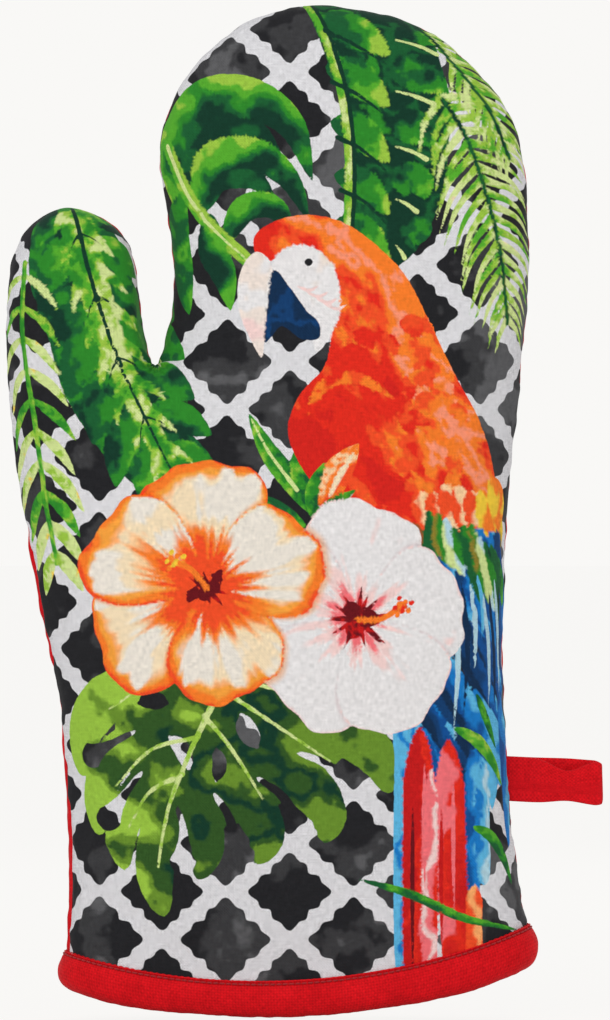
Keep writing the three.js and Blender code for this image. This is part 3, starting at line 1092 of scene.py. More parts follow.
def print_banana_leaf(layer, veins):
    """A torn banana leaf: dark underneath, with lit flaps in two columns beside its rib."""
    rib = [(2, 333), (9, 316), (14, 298), (16, 276), (15, 250)]
    edge = [(2, 334), (18, 334), (34, 331), (43, 322), (46, 310), (49, 296), (48, 284), (47, 272),
            (44, 262), (40, 253), (34, 246), (27, 243), (20, 248), (14, 250), (15, 276), (13, 298)]
    area(layer, edge, washes([FOREST, FOREST, PINE, FOREST, LEAF], 8, 60))
    for k, z in enumerate((326, 309, 291, 274, 259)):
        near = leaf_paint([PINE, LEAF, LEAF, GRASS, LIME, LIME], 62 + k, 0.12, 6, 1.0, 0)
        left = 6 + 2.6 * k - 0.3 * k * k
        stroke(layer, [(left, z), (left + 9, z - 3), (29, z - 13)], 6.2 - 0.4 * k, near, lobe)
        far = leaf_paint([FOREST, PINE, LEAF, LEAF, GRASS, LIME], 70 + k, -0.2, 6, 0.9, 0)
        right = 48 - 1.2 * k - 0.4 * k * k
        stroke(layer, [(29, z - 1), (38, z - 2), (right, z - 8)], 6.4 - 0.3 * k, far, lobe)
        slit = [(right - 3, z - 12), (right / 2 + 14, z - 9.5), (31, z - 8)]
        stroke(veins, slit, 0.8, plain(PALE_LIME), taper)
        stroke(veins, [(left + 2, z - 5), (left + 10, z - 9), (28, z - 16)], 0.8, plain(FOREST), taper)
    stroke(layer, rib, 1.5, leaf_paint([GRASS, LIME, PALE_LIME, LIME], 75, 0.3), even)
    stroke(veins, [(x + 1.6, z) for x, z in rib], 0.7, plain(FOREST), even)


def print_right_palm(layer):
    """Two palm leaves with pale leaflets and dark ribs."""
    lime = leaf_paint([GRASS, LIME, PALE_LIME, PALE_LIME], 83, 0.2)
    pale = leaf_paint([LIME, PALE_LIME, PALE_LIME, CREAM], 84, 0.2)
    rib = [(46, 299), (54, 286), (61, 266), (66, 246), (69, 226)]
    for side in (-1, 1):
        frond(layer, rib, side, 19, 0.0, 0.98, [19, 24, 23, 13], [1.5, 1.2], (58, 34),
              [pale, lime, lime], blade)
    upper = [(38, 327), (50, 312), (62, 296), (70, 280)]
    frond(layer, upper, 1, 13, 0.1, 0.98, [16, 22, 12], [1.5, 1.2], (40, 30), [lime, pale], blade)
    frond(layer, upper, -1, 11, 0.35, 0.98, [12, 16, 10], [1.4, 1.1], (46, 34), [pale, lime], blade)
    for line in (rib, upper):
        stroke(layer, line, 0.7, leaf_paint([FOREST, PINE, OLIVE_LEAF], 85), even)


def print_left_palm(layer):
    rib = [(-90, 246), (-91, 222), (-87, 196), (-84, 172), (-80, 148)]
    green = leaf_paint([LEAF, GRASS, LIME, GRASS], 90, 0.2)
    lime = leaf_paint([LIME, PALE_LIME, PALE_LIME, YELLOW], 93, 0.2)
    for side in (-1, 1):
        frond(layer, rib, side, 10, 0.04, 0.96, [16, 20, 22, 16], [1.3, 1.7, 2.4], (50, 30),
              [lime, green, lime], lobe)
    stroke(layer, rib, 0.9, green, even)


def print_curled_leaf(layer, veins):
    """A cut leaf whose lobes curl over, each with a lit rim and a dark hollow."""
    hollow = washes([FOREST, FOREST, PINE], 9, 99)
    rim = leaf_paint([FOREST, PINE, LEAF, GRASS, GRASS, LIME], 100, 0.5, 9, 0.1, 0)
    calm = leaf_paint([PINE, LEAF, GRASS, LEAF], 104, 0.3, 8)
    strokes(layer, lobe, [
        (6.0, hollow, (-39, 266), (-37, 279), (-28, 289), (-15, 288), (-6, 280)),
        (7.6, rim, (-41, 262), (-44, 281), (-34, 297), (-17, 299), (-3, 290), (4, 272)),
        (4.6, hollow, (-32, 262), (-27, 273), (-16, 273), (-8, 266)),
        (5.4, rim, (-34, 261), (-30, 278), (-16, 281), (-4, 273), (3, 259)),
        (4.4, rim, (-25, 252), (-18, 263), (-8, 263), (-2, 252)),
        (6.0, calm, (-40, 268), (-43, 254), (-40, 240), (-37, 229)),
        (4.8, rim, (-30, 262), (-29, 250), (-25, 241), (-23, 230)),
    ])
    rib = [(-45, 284), (-39, 270), (-29, 257), (-17, 246)]
    stroke(layer, rib, 2.2, leaf_paint([GRASS, LIME, LIME], 107, 0.3), even)
    stroke(veins, rib, 0.8, plain(PALE_LIME), taper)


def print_thumb_leaf(layer, veins):
    """A broad leaf with a pale heart, its flaps dark at their edges."""
    rib = [(-74, 268), (-69, 244), (-60, 216), (-48, 190), (-36, 168)]
    edge = [(-76, 269), (-87, 256), (-88, 240), (-82, 222), (-77, 204), (-66, 186), (-52, 172),
            (-38, 164), (-25, 172), (-30, 184), (-41, 196), (-48, 210), (-52, 226), (-53, 242),
            (-62, 262)]
    area(layer, edge, washes([FOREST, PINE, LEAF, PINE], 7, 108))
    dark = [leaf_paint([FOREST, PINE, LEAF, LEAF, GRASS], 110 + k, 0.25, 6, -0.3, 0) for k in range(3)]
    lit = [leaf_paint([PINE, LEAF, LEAF, GRASS, LIME], 115 + k, 0.25, 6, -0.4, 0) for k in range(2)]
    tones = [dark[0], lit[0], dark[1], lit[1], dark[2]]
    frond(layer, rib, 1, 8, 0.03, 0.96, [22, 25, 24, 16], [5.6, 6.4, 4.6], (60, 44), tones)
    frond(layer, rib, -1, 8, 0.0, 0.93, [22, 27, 29, 18], [5.6, 6.6, 4.6], (52, 40), tones)
    pale = leaf_paint([LEAF, GRASS, LIME, PALE_LIME, PALE_LIME, LIME], 119, 0.1, 4.0, 0.1, 0)
    stroke(layer, rib, 6.2, pale, taper)
    for side, slant in ((1, (50, 36)), (-1, (42, 32))):
        frond(layer, rib, side, 9, 0.0, 0.92, [14, 17, 11], [3.3, 2.3], slant, [pale], blade)
        frond(veins, rib, side, 5, 0.12, 0.9, [9, 12, 7], [0.5, 0.4], slant, [plain(FOREST)], blade)
    stroke(veins, rib, 0.8, plain(FOREST), taper)


def print_monstera(layer, veins):
    """A broad cut leaf, lime on its left and olive at its middle: a body with round lobes that
    leave slits between them, and holes beside the rib."""
    glow = [LIME, LIME, MOSS, OLIVE_LEAF, OLIVE_LEAF, FOREST, OLIVE_LEAF, MOSS, MOSS]

    def paint(place, *_):
        value = (place[:, 0] + 76) / 98 + 0.12 * np.sin(place @ (0.16, 0.3))
        return picked(glow, value + clouds(place, 11, 121, 4) - 0.5)

    body = [(-24, 113), (-42, 115), (-56, 108), (-60, 94), (-55, 80), (-46, 68), (-35, 62),
            (-20, 64), (-4, 72), (10, 82), (23, 96), (12, 104), (-6, 111)]
    area(layer, body, paint)
    strokes(layer, finger, [
        (7.5, paint, (-40, 108), (-60, 106), (-71, 94), (-72, 79)),
        (6.2, paint, (-46, 96), (-60, 86), (-66, 73), (-65, 60)),
        (5.6, paint, (-44, 84), (-54, 72), (-58, 61), (-57, 49)),
        (6.6, paint, (-42, 80), (-45, 62), (-47, 48), (-44, 34)),
        (5.6, paint, (-34, 78), (-31, 64), (-30, 55), (-33, 46)),
        (6.6, paint, (-22, 82), (-14, 68), (-11, 60), (-14, 51)),
        (7.2, paint, (-12, 88), (3, 76), (9, 67), (8, 58)),
        (7.2, paint, (-2, 98), (17, 92), (26, 84), (29, 74)),
    ])
    slits = [(1.7, (-68, 86), (-59, 91), (-53, 94)), (1.8, (-62, 66), (-55, 76), (-51, 81)),
             (1.7, (-38, 52), (-38, 62), (-40, 70)), (2.1, (-20, 54), (-23, 66), (-28, 74)),
             (2.2, (0, 60), (-5, 72), (-14, 79)), (2.0, (18, 74), (9, 83), (-1, 87))]
    holes = [(3.0, (-52, 103), (-48, 104), (-43, 103)), (3.3, (-19, 99), (-17, 94), (-14, 89)),
             (2.7, (-42, 92), (-38, 88), (-36, 82)), (2.4, (-27, 88), (-26, 83), (-27, 78))]
    for shape, rows in ((slot, slits), (oval, holes)):
        for half_width, *line in rows:
            cut(layer, line, half_width, shape)
    pale = leaf_paint([LIME, PALE_LIME, PALE_LIME], 125, 0.1, 3.0)
    strokes(veins, taper, [
        (1.1, pale, (-23, 113), (-28, 103), (-36, 86), (-43, 68), (-46, 50)),
        (0.8, pale, (-25, 109), (-46, 110), (-62, 101)),
        (0.8, pale, (-33, 92), (-48, 88), (-60, 76)),
        (0.8, pale, (-38, 80), (-49, 74), (-56, 62)),
        (0.8, pale, (-31, 99), (-22, 88), (-12, 72)),
        (0.8, pale, (-26, 108), (-8, 96), (10, 84)),
        (0.8, pale, (-25, 112), (-6, 107), (18, 100)),
    ])


def print_bud_leaves(layer, veins):
    one, other = (leaf_paint([PINE, LEAF, GRASS, LIME], seed, 0.4, 3.5) for seed in (130, 131))
    strokes(layer, lobe, [
        (3.6, one, (6, 163), (-2, 174), (-10, 184), (-17, 197)),
        (3.2, other, (6, 163), (0, 178), (2, 186), (8, 192)),
        (2.6, one, (8, 166), (10, 176), (18, 184)),
        (2.6, other, (2, 160), (-12, 168), (-22, 166)),
    ])
    stroke(veins, [(-1, 172), (-10, 184), (-16, 195)], 0.7, plain(PALE_LIME), taper)


def print_bud(layer):
    bud = leaf_paint([SCARLET, ORANGE, PEACH, ORANGE], 135, 0.4, 3.5, 0.1, 0)
    sepal = leaf_paint([PINE, LEAF, GRASS, LIME], 136, 0.4, 3, 0.2, 0)
    strokes(layer, lobe, [
        (5.0, bud, (6, 166), (11, 176), (19, 187)),
        (1.0, plain(CREAM), (9, 169), (13, 177), (18, 185)),
        (2.2, sepal, (4, 163), (4, 172), (8, 181)),
        (2.2, sepal, (4, 163), (12, 168), (18, 172)),
    ])


PLUMAGE = [CRIMSON, RED, RED, SCARLET, ORANGE, SALMON, ORANGE]


def print_parrot(layer, details):
    """A plain red parrot with a blue wing, in profile, looking left."""
    body = [(-14, 247), (-15, 254), (-8, 259), (3, 261), (15, 258), (26, 250), (35, 240),
            (43, 224), (51, 208), (60, 192), (65, 178), (66, 164), (60, 154), (50, 156), (40, 158),
            (28, 160), (16, 164), (6, 172), (-1, 182), (-4, 192), (0, 203), (8, 212), (10, 222),
            (8, 234), (-2, 244), (-9, 246)]

    def paint(place, inside, _):
        back = smoothstep(6, 44, place[:, 0] + 0.6 * (place[:, 1] - 200))
        lie = np.column_stack([place @ (0.31, -0.42), place @ (0.8, 0.6)])  # longer down the back
        value = 1.8 * (clouds(lie, 7, 140, 4) - 0.42) + 0.7 * back * smoothstep(32, 1, inside)
        return picked(PLUMAGE, value)

    area(layer, body, paint)
    print_plumage(layer)
    print_shoulder(layer)
    print_wing(layer, details)
    print_tail(layer, details)
    print_parrot_head(layer, details)


def print_plumage(layer):
    """Short dabs over the neck and the breast, redder on the left, and a line along the wing."""
    for k in range(34):
        across, down = hashed(k, 1, 9), hashed(k, 2, 9)
        root = np.array([mix(4, 52, across), mix(236, 182, down) - 12 * across])
        reach = turned(np.array([5.0, -7.0]), 1.2 * (hashed(k, 3, 9) - 0.5))
        step = int(4 * across + hashed(k, 6, 9))
        dab = washes(PLUMAGE[step:step + 2], 4, k)
        plume(layer, root, reach, [1, 1], mix(2.0, 3.6, hashed(k, 7, 9)), dab, lobe, 3, True)
    stroke(layer, [(2, 196), (8, 206), (19, 208), (31, 201)], 2.0,
           washes([SCARLET, ORANGE, RED], 6, 145), lobe, 6, True)


def print_shoulder(layer):
    """Two rows of short feathers above the wing, which turn yellow towards the back."""
    low_row = [[OLIVE, UMBER], [UMBER, RED], [LEAF, OLIVE, YELLOW]]
    top_row = [[RED, SCARLET], [SCARLET, PEACH, APRICOT], [YELLOW, ORANGE, YELLOW]]
    for row, (drop, fringe) in enumerate(((9, low_row), (0, top_row))):
        for k in range(11):
            t = k / 10
            root = np.array([mix(20, 64, t), mix(170, 177, t) - 5 * hashed(k, 9, 2) - drop])
            reach = [mix(6, 3, t), -mix(9, 15, hashed(k, 4, 2 + row)) - 9 * t * t]
            tone = leaf_paint(fringe[int(t > 0.3) + int(t > 0.8)], 150 + k + 20 * row, 0.5, 6, 0.3, 0)
            plume(layer, root, reach, [1.5, 0], 4.4, tone, lobe, 3)


def print_parrot_head(layer, details):
    face = [(-9, 246), (-3, 251), (5, 250), (11, 244), (13, 234), (12, 226), (8, 219), (5, 217),
            (3, 225), (-3, 234), (-8, 240)]
    area(layer, face, washes([PETAL, PETAL, BONE], 9, 170))
    upper = [(-15, 249), (-10, 246), (-9, 238), (-11, 229), (-12, 219), (-13, 215), (-17, 222),
             (-20.5, 231), (-20, 242)]
    area(details, upper, washes([PETAL, BONE, BLUSH], 9, 171))
    lower = [(-9, 243), (-3, 237), (2, 230), (6, 226), (6, 221), (0, 221), (-6, 225), (-10, 221),
             (-12, 220), (-11, 230)]
    area(details, lower, washes([NAVY, NAVY, INDIGO, NAVY], 6, 172))
    area(details, [(1.2, 245.6), (2.7, 247), (4.2, 245.6), (2.7, 244.2)], plain(COAL), 3)
    for k in range(4):
        x = -1 + 3 * k
        line = [(x, 238 - 2 * k), (x + 4, 236.5 - 2 * k), (x + 7, 238 - 2 * k)]
        stroke(details, line, 0.55, plain(BLUSH), oval, 3)


def print_wing(layer, details):
    """Broad brushed feathers in blues, the upper and lower ones straight down and the middle
    ones across them, with a green crest over the shoulder."""
    fans = [
        (10, (43, 67), (157, 153), (-2, 5), (40, 56), 4.0, 180,
         [[BLUE, SKY, FROST], [BLUE, BLUE, SKY], [DEEP_BLUE, BLUE, SKY], [BLUE, SKY, SKY],
          [INDIGO, DEEP_BLUE, BLUE]]),
        (10, (36, 70), (112, 106), (-1, 3), (34, 54), 4.2, 210,
         [[SKY, SKY, BLUE], [SKY, BLUE, BLUE], [DEEP_BLUE, BLUE, SKY], [BLUE, DEEP_BLUE, BLUE],
          [SKY, FROST, FROST], [NAVY, INDIGO, DEEP_BLUE], [BLUE, SKY, FROST]]),
        (8, (35, 54), (110, 136), (24, 19), (28, 40), 3.0, 240,
         [[NAVY, INDIGO, DEEP_BLUE], [INDIGO, DEEP_BLUE, BLUE], [NAVY, DEEP_BLUE, INDIGO],
          [DEEP_BLUE, BLUE, SKY]]),
        (9, (42, 64), (161, 153), (5, 9), (9, 30), 2.6, 165,
         [[PINE, LEAF, GRASS], [OLIVE, LEAF, PALE_LIME], [PALE_LIME, FROST, PALE_LIME],
          [LEAF, PINE, FOREST]]),
    ]
    for count, xs, heights, drifts, falls, wide, seed, colours in fans:
        for k in range(count):
            t = k / (count - 1)
            root = np.array([mix(*xs, t), mix(*heights, t) + 4 * hashed(k, seed, 3)])
            reach = [mix(*drifts, t), -mix(*falls, hashed(k, seed, 7))]
            tone = leaf_paint(colours[k % len(colours)], seed + k, 0.5, 8, 0.3, 0)
            width = wide * mix(0.75, 1.15, hashed(k, seed, 5))
            plume(layer, root, reach, [mix(-2, 2, t), 0], width, tone, feather, 4)
    for k in range(8):
        t = k / 7
        root = np.array([mix(47, 66, t), mix(134, 148, hashed(k, 1, 12))])
        reach = [mix(0, 4, t), -mix(20, 44, hashed(k, 2, 12))]
        tone = plain([SKY, FROST, NAVY, FROST][k % 4])
        plume(details, root, reach, [1.5, 0], 0.9, tone, lobe, 4)


def print_tail(layer, details):
    """Straight tail feathers, red with a pale one between, edged with blue."""
    feathers = [
        (3.4, (34.5, 108), (-1, -100), [SKY, BLUE, SKY, BLUE]),
        (2.6, (56.5, 88), (-0.5, -58), [DEEP_BLUE, BLUE, SKY]),
        (3.0, (61, 84), (-1, -40), [BLUE, SKY, FROST, SKY]),
        (5.0, (39, 95), (-1, -90), [BLOOD, BLOOD, RED, CRIMSON, PINK]),
        (4.8, (48.5, 91), (2.5, -84), [PINK, RED, CRIMSON, BLOOD]),
        (2.6, (42.6, 82), (-0.6, -77), [PINK, BLUSH, PINK, RED]),
        (2.8, (56.5, 44), (0.5, -29), [SCARLET, APRICOT, SCARLET]),
    ]
    for k, (wide, top, reach, colours) in enumerate(feathers):
        tone = leaf_paint(colours, 236 + k, 0.5, 8, 0.25, 0)
        plume(layer, np.array(top), reach, [-0.4, 0], wide, tone, quill, 4)
    for x, top, fall, tone in ((40.5, 84, -44, PINK), (46, 70, -50, BLOOD), (50, 80, -46, PINK),
                               (36.6, 70, -58, MAROON)):
        plume(details, np.array([x, top]), [0, fall], [-0.3, 0], 0.7, plain(tone), lobe, 4)


def petal(layer, centre, angle, reach, spread, paint, seed, shadow):
    """One ruffled petal, broad at its end, which shades what it lies over."""
    near = near_to(layer, np.array([centre, centre], float), reach * 1.15)
    place = layer["plan"][near]
    local = place - centre
    r = np.hypot(*local.T)
    off = np.arctan2(local[:, 1], local[:, 0]) - math.radians(angle)
    off = (off + math.pi) % (2 * math.pi) - math.pi
    half = math.radians(spread)
    ruffle = 1 + 0.04 * np.sin(off * 3.6 + seed * 2.1) + 0.022 * np.sin(off * 9 + seed * 3.7)
    ruffle += 0.01 * np.sin(off * 21 + 5 * seed)
    rim = reach * ruffle * np.clip(1 - np.abs(off / half) ** 4, 0, 1) ** 0.5
    inside = np.minimum((rim - r) * 0.85, (half - np.abs(off)) * np.maximum(r, 0.5))
    shade = smoothstep(-2.6, -0.2, inside) * (layer["cover"][near] > 0)
    layer["tone"][near] *= mix(1.0, np.array(shadow), shade[:, None])
    lay(layer, near, inside, paint(place, r / reach, off, inside))


def petal_paint(heart, body, rim, seed, rim_width, lean, glow=0.4):
    """A pale petal with streaks out of the flower's heart, as far as glow gives. Its painted
    rim fades inwards, and is wider on the side that lean gives."""

    def paint(place, out, off, inside):
        lines = np.column_stack([off * 8, out * 1.2])
        grain = noise(lines, 1, seed) + 0.6 * noise(lines * 2.7, 1, seed + 1) - 0.8
        wash = clouds(place, 13, seed + 2, 2) - 0.5
        colour = picked(body, 0.45 + 0.3 * grain + wash)
        deep = rim_width * np.clip(0.9 + 1.3 * grain + 2.8 * wash + lean * off, 0.15, 3)
        share = np.clip(inside / deep, 0, 1)
        tint = share + 0.55 * wash + 0.35 * grain
        colour = mix(picked(rim, tint), colour, smoothstep(0.5, 1, share)[:, None])
        core = np.clip(out / np.clip(glow + 0.42 * grain + 0.3 * wash, 0.12, 1), 0, 1)
        return mix(picked(heart, core), colour, smoothstep(0.7, 1, core)[:, None])

    return paint


def flower(layer, centre, petals, paints, shadow):
    """Petals, each with its angle, reach and half spread, laid one over another."""
    for number, (angle, reach, spread) in enumerate(petals):
        paint = paints[number % len(paints)]
        petal(layer, np.array(centre), angle, reach, spread, paint, number, shadow)


def print_flowers(petals, details):
    """Two open hibiscus flowers, one blush and, over it, one amber."""
    blush = [petal_paint([BLOOD, PINK, BLUSH, PETAL], [PETAL, PETAL, PETAL, BLUSH],
                         [BLUSH, PETAL, PETAL], 200 + k, 1.6, 0.5) for k in range(3)]
    flower(petals, (19, 130), [(86, 38, 50), (154, 36, 48), (14, 35, 52), (232, 37, 52),
                               (300, 37, 54)], blush, (0.88, 0.79, 0.80))
    amber = [petal_paint([BLOOD, SCARLET, SCARLET, ORANGE, AMBER], [IVORY, IVORY, CREAM, PEACH, APRICOT],
                         [SCARLET, ORANGE, AMBER, APRICOT, PEACH], 210 + k, 6.4, lean, 0.52)
             for k, lean in enumerate((1.4, -1.2, 0.7))]
    flower(petals, (-30, 140), [(214, 41, 46), (286, 36, 56), (94, 42, 48), (152, 41, 46),
                                (22, 37, 52)], amber, (1.0, 0.62, 0.4))
    print_heart(details, (19, 130), 10.5, [MAROON, MAROON, BLOOD, MAROON], 9)
    print_heart(details, (-30, 140), 7.0, [MAROON, MAROON, BLOOD], 5)
    for x, z in ((-35, 138), (-27, 143.5)):
        stroke(details, [(x - 1, z + 0.8), (x + 1.4, z - 0.6)], 3.0, plain(MAROON), oval)
    print_stamen(details, [(-30, 140), (-35, 146), (-41, 149)], ORANGE, YELLOW)
    print_stamen(details, [(19, 130), (26, 130), (33, 134)], ORANGE, RED)


def print_heart(layer, centre, reach, colours, rays):
    """The dark blot at a flower's heart, with thin rays of several lengths."""
    blot = washes(colours, 4, 220 + rays)
    for k in range(2 * rays + 3):
        angle = math.pi * k / rays + 0.6 * hashed(k, rays, 4)
        length = reach * (0.55 + 0.6 * hashed(k, rays, 5))
        wide = 1.1
        if k >= 2 * rays:
            angle, length, wide = 2.1 * k, reach * 0.36, reach * 0.26
        tip = np.array(centre) + length * turned((1, 0), angle)
        stroke(layer, [centre, tip], wide, blot, blade if wide < 1.2 else even, 4)


def print_stamen(layer, line, stem, tip):
    stroke(layer, line, 0.9, plain(stem), even, 5)
    end = np.array(line[-1], float)
    for k in range(9):
        spot = end + (0.9 + 0.32 * k) * turned((1, 0), 2.4 * k)
        stroke(layer, [spot, spot + [0.3, 0.3]], 0.75, plain([tip, stem][k % 2]), even, 2)


def print_blades(layer):
    """Loose blades of grass across the tail and the wing."""
    green = leaf_paint([LEAF, GRASS, LIME, LEAF], 230, 0.3, 5)
    dark = leaf_paint([PINE, LEAF, GRASS, PINE], 231, 0.3, 5)
    strokes(layer, lobe, [
        (1.5, dark, (19, 46), (36, 41), (54, 33), (76, 29)),
        (2.2, green, (50, 95), (58, 91), (65, 84), (70, 76)),
        (2.1, dark, (56, 63), (63, 60), (69, 53), (73, 44)),
        (1.5, dark, (58, 106), (63, 96), (67, 88)),
    ])


def print_front(obj, plan):
    """Every layer of the pattern, from the cloth up."""
    names = ["trellis", "leaves", "veins", "parrot", "feathers", "petals", "details"]
    layers = {name: new_layer(plan) for name in names}
    print_trellis(layers["trellis"])
    print_leaves(layers["leaves"], layers["veins"])
    print_parrot(layers["parrot"], layers["feathers"])
    print_bud(layers["petals"])
    print_flowers(layers["petals"], layers["details"])
    print_blades(layers["feathers"])
    for name, layer in layers.items():
        set_values(obj, name + "_cover", layer["cover"])
        set_colours(obj, name + "_tone", layer["tone"])
    return names


# ---- materials -------------------------------------------------------------------------


class Nodes:
    """A material's node tree, with short ways to add to it."""

    def __init__(self, name):
        self.material = bpy.data.materials.new(name)
        self.material.use_nodes = True
        self.tree = self.material.node_tree
        self.shader = self.tree.nodes["Principled BSDF"]

    def add(self, kind, **settings):
        node = self.tree.nodes.new("ShaderNode" + kind)
        for key, value in settings.items():
            setattr(node, key, value)
        return node

    def set(self, socket, value):
        if isinstance(value, bpy.types.NodeSocket):
            self.tree.links.new(value, socket)
        elif isinstance(value, (int, float)):
            socket.default_value = value
        elif len(value) == 3 and len(socket.default_value) == 4:
            socket.default_value = (*value, 1)
        else:
            socket.default_value = value

    def math(self, operation, *values):
        node = self.add("Math", operation=operation)
        for socket, value in zip(node.inputs, values):
            self.set(socket, value)
        return node.outputs[0]

    def mix(self, share, first, second, blend="MIX"):
        node = self.add("Mix", data_type="RGBA", blend_type=blend)
        self.set(node.inputs["Factor"], share)
        self.set(node.inputs[6], first)
        self.set(node.inputs[7], second)
        return node.outputs[2]

    def attribute(self, name, output):
        return self.add("Attribute", attribute_name=name).outputs[output]

    def shaded(self, colour, shade):
        """A colour made lighter or darker by a number."""
        grey = self.add("CombineColor")
        for socket in grey.inputs[:3]:
            self.set(socket, shade)
        return self.mix(1.0, colour, grey.outputs[0], "MULTIPLY")

    def scaled(self, source, scale):
        node = self.add("VectorMath", operation="MULTIPLY")
        self.set(node.inputs[0], source)
        self.set(node.inputs[1], scale)
        return node.outputs[0]

    def uv(self, scale):
        """The cloth coordinates, in metres, scaled along each axis."""
        return self.scaled(self.add("UVMap", uv_map="cloth").outputs[0], scale)

    def place(self, scale):
        return self.scaled(self.add("TexCoord").outputs["Object"], scale)

    def noise(self, vector, detail, rough=0.5):
        node = self.add("TexNoise")
        self.set(node.inputs["Vector"], vector)
        self.set(node.inputs["Scale"], 1.0)
        self.set(node.inputs["Detail"], detail)
        self.set(node.inputs["Roughness"], rough)
        return node.outputs["Fac"]

    def range(self, value, low, high, to_low=0.0, to_high=1.0):
        node = self.add("MapRange")
        for socket, number in zip(node.inputs, (value, low, high, to_low, to_high)):
            self.set(socket, number)
        return node.outputs[0]

    def finish(self, colour, roughness, height, relief, sheen):
        """Joins up the shader, and gives the material. Its height stands out by `relief` metres."""
        bump = self.add("Bump")
        self.set(bump.inputs["Height"], height)
        self.set(bump.inputs["Distance"], relief)
        self.set(bump.inputs["Strength"], 1.0)
        self.set(self.shader.inputs["Base Color"], colour)
        self.set(self.shader.inputs["Roughness"], roughness)
        self.set(self.shader.inputs["Normal"], bump.outputs[0])
        self.shader.inputs["Sheen Weight"].default_value = sheen
        return self.material


THREADS = 2150.0  # threads to the metre, both ways
BINDING_THREADS = 1500.0
MOTTLE = 0.03  # unevenness of an ink
TRELLIS_MOTTLE = 0.13
INK_BLEED = 0.55  # how far an ink's edge wanders, in millimetres
INK_EDGE = 0.14  # half width of the blend there
# Painted shade and painted highlight in the weave: how far a cloth's colour is darkened in the dips
# between yarns and lightened on their crowns
YARN_PAINTED_SHADE = (0.73, 1.21)  # of the dips between yarns, and of the yarns' crowns


def weave(nodes, threads):
    """A plain weave's height from 0 to 1, with yarns of uneven thickness both ways."""
    warp = nodes.noise(nodes.uv((threads, threads / 5, 1)), 2.0)
    weft = nodes.noise(nodes.uv((threads / 5, threads, 7)), 2.0)
    yarns = nodes.math("ADD", warp, weft)
    split = nodes.add("SeparateXYZ")
    nodes.set(split.inputs[0], nodes.uv((threads * math.pi, threads * math.pi, 1)))
    over = nodes.math("MULTIPLY", nodes.math("SINE", split.outputs[0]),
                      nodes.math("SINE", split.outputs[1]))
    return nodes.math("MULTIPLY_ADD", over, 0.12, nodes.math("MULTIPLY", yarns, 0.5))


def finish_cloth(nodes, colour, height, roughness, relief, sheen):
    """Shades a cloth: its colour is darkened in the dips between yarns and lightened on their crowns, as
    painted shade and painted highlight, and the yarns stand out as a fine relief.
    """
    # painted shade in the weave's dips and painted highlight on its crowns, taken from its height
    toned = nodes.shaded(colour, nodes.range(height, 0.3, 0.7, *YARN_PAINTED_SHADE))
    rough = nodes.range(height, 0.2, 0.8, roughness + 0.06, roughness - 0.06)
    nodes.shader.inputs["Specular IOR Level"].default_value = 0.12
    nodes.shader.inputs["Sheen Roughness"].default_value = 0.5
    return nodes.finish(toned, rough, height, relief, sheen)


def printed_cotton(layer_names):
    """Inks laid over white cloth, one layer after another, with edges that bleed a little."""
    nodes = Nodes("printed_cotton")
    height = weave(nodes, THREADS)
    bleed = nodes.math("SUBTRACT", nodes.noise(nodes.uv((420, 420, 1)), 3.0, 0.6), 0.5)
    wash = nodes.noise(nodes.uv((300, 300, 3)), 5.0, 0.7)
    colour = GROUND
    for name in layer_names:
        mottle = TRELLIS_MOTTLE if name == "trellis" else MOTTLE
        cover = nodes.attribute(name + "_cover", "Fac")
        tone = nodes.attribute(name + "_tone", "Color")
        edge = nodes.math("MULTIPLY_ADD", bleed, INK_BLEED, cover)
        shade = nodes.range(wash, 0.3, 0.7, 1 - mottle, 1 + mottle)
        colour = nodes.mix(nodes.range(edge, -INK_EDGE, INK_EDGE), colour, nodes.shaded(tone, shade))
    return finish_cloth(nodes, colour, height, roughness=0.86, relief=0.00012, sheen=0.06)


def dyed_cotton(name, colour, deep, threads=THREADS):
    """Plain dyed cotton whose colour is a little worn and uneven."""
    nodes = Nodes(name)
    height = weave(nodes, threads)
    wash = nodes.noise(nodes.uv((90, 90, 5)), 4.0, 0.6)
    toned = nodes.mix(nodes.range(wash, 0.25, 0.75), deep, colour)
    return finish_cloth(nodes, toned, height, roughness=0.88, relief=0.00014, sheen=0.03)


def wadding_material():
    nodes = Nodes("wadding")
    fluff = nodes.noise(nodes.place((700, 700, 700)), 5.0, 0.7)
    # Painted shade: the wadding is darker where its fluffy relief dips, as the same noise gives both its
    # colour and its bump
    colour = nodes.mix(fluff, ink(214, 210, 202), ink(244, 242, 238))
    rough = nodes.range(fluff, 0, 1, 0.92, 1.0)
    return nodes.finish(colour, rough, fluff, relief=0.0006, sheen=0.2)


def thread_material(name, colour, deep):
    """Twisted sewing thread."""
    nodes = Nodes(name)
    twist = nodes.noise(nodes.place((2600, 2600, 900)), 2.0)
    rough = nodes.range(twist, 0, 1, 0.6, 0.78)
    # Painted shade: the thread is darker in the dips of its twist, as the same noise gives both its
    # colour and its relief
    return nodes.finish(nodes.mix(twist, deep, colour), rough, twist, relief=0.0001, sheen=0.1)


def dress(obj, material):
    """Gives a piece its material."""
    obj.data.materials.clear()
    obj.data.materials.append(material)


# ---- stage -----------------------------------------------------------------------------

BACKGROUND = ink(249, 248, 246)
FLOOR_Z = -0.3
FLOOR_REACH = 30000
FLOOR_GLOW = 1.015  # how bright it shines to the camera, to match the background
FLOOR_GLOW_SHARE = 0.94  # the rest is its own lit surface
WORLD_LIGHT = 0.62
# From here on in metres: each soft light's name, place, size and watts
LIGHTS = [("key", (-0.7, -1.5, 0.95), 1.2, 11.0), ("fill", (0.9, -1.3, 0.35), 1.3, 4.0),
          ("rim", (0.5, 1.4, 0.9), 1.0, 5.0)]
LIGHTS_AIM = (0, 0, 0.16)
CAMERA_LENS = 400.0
DISTANCE_PER_LENS = 1.1078 / 120  # keeps the mitt's size in view
CAMERA_X = 0.0016
CAMERA_Z = 0.1655


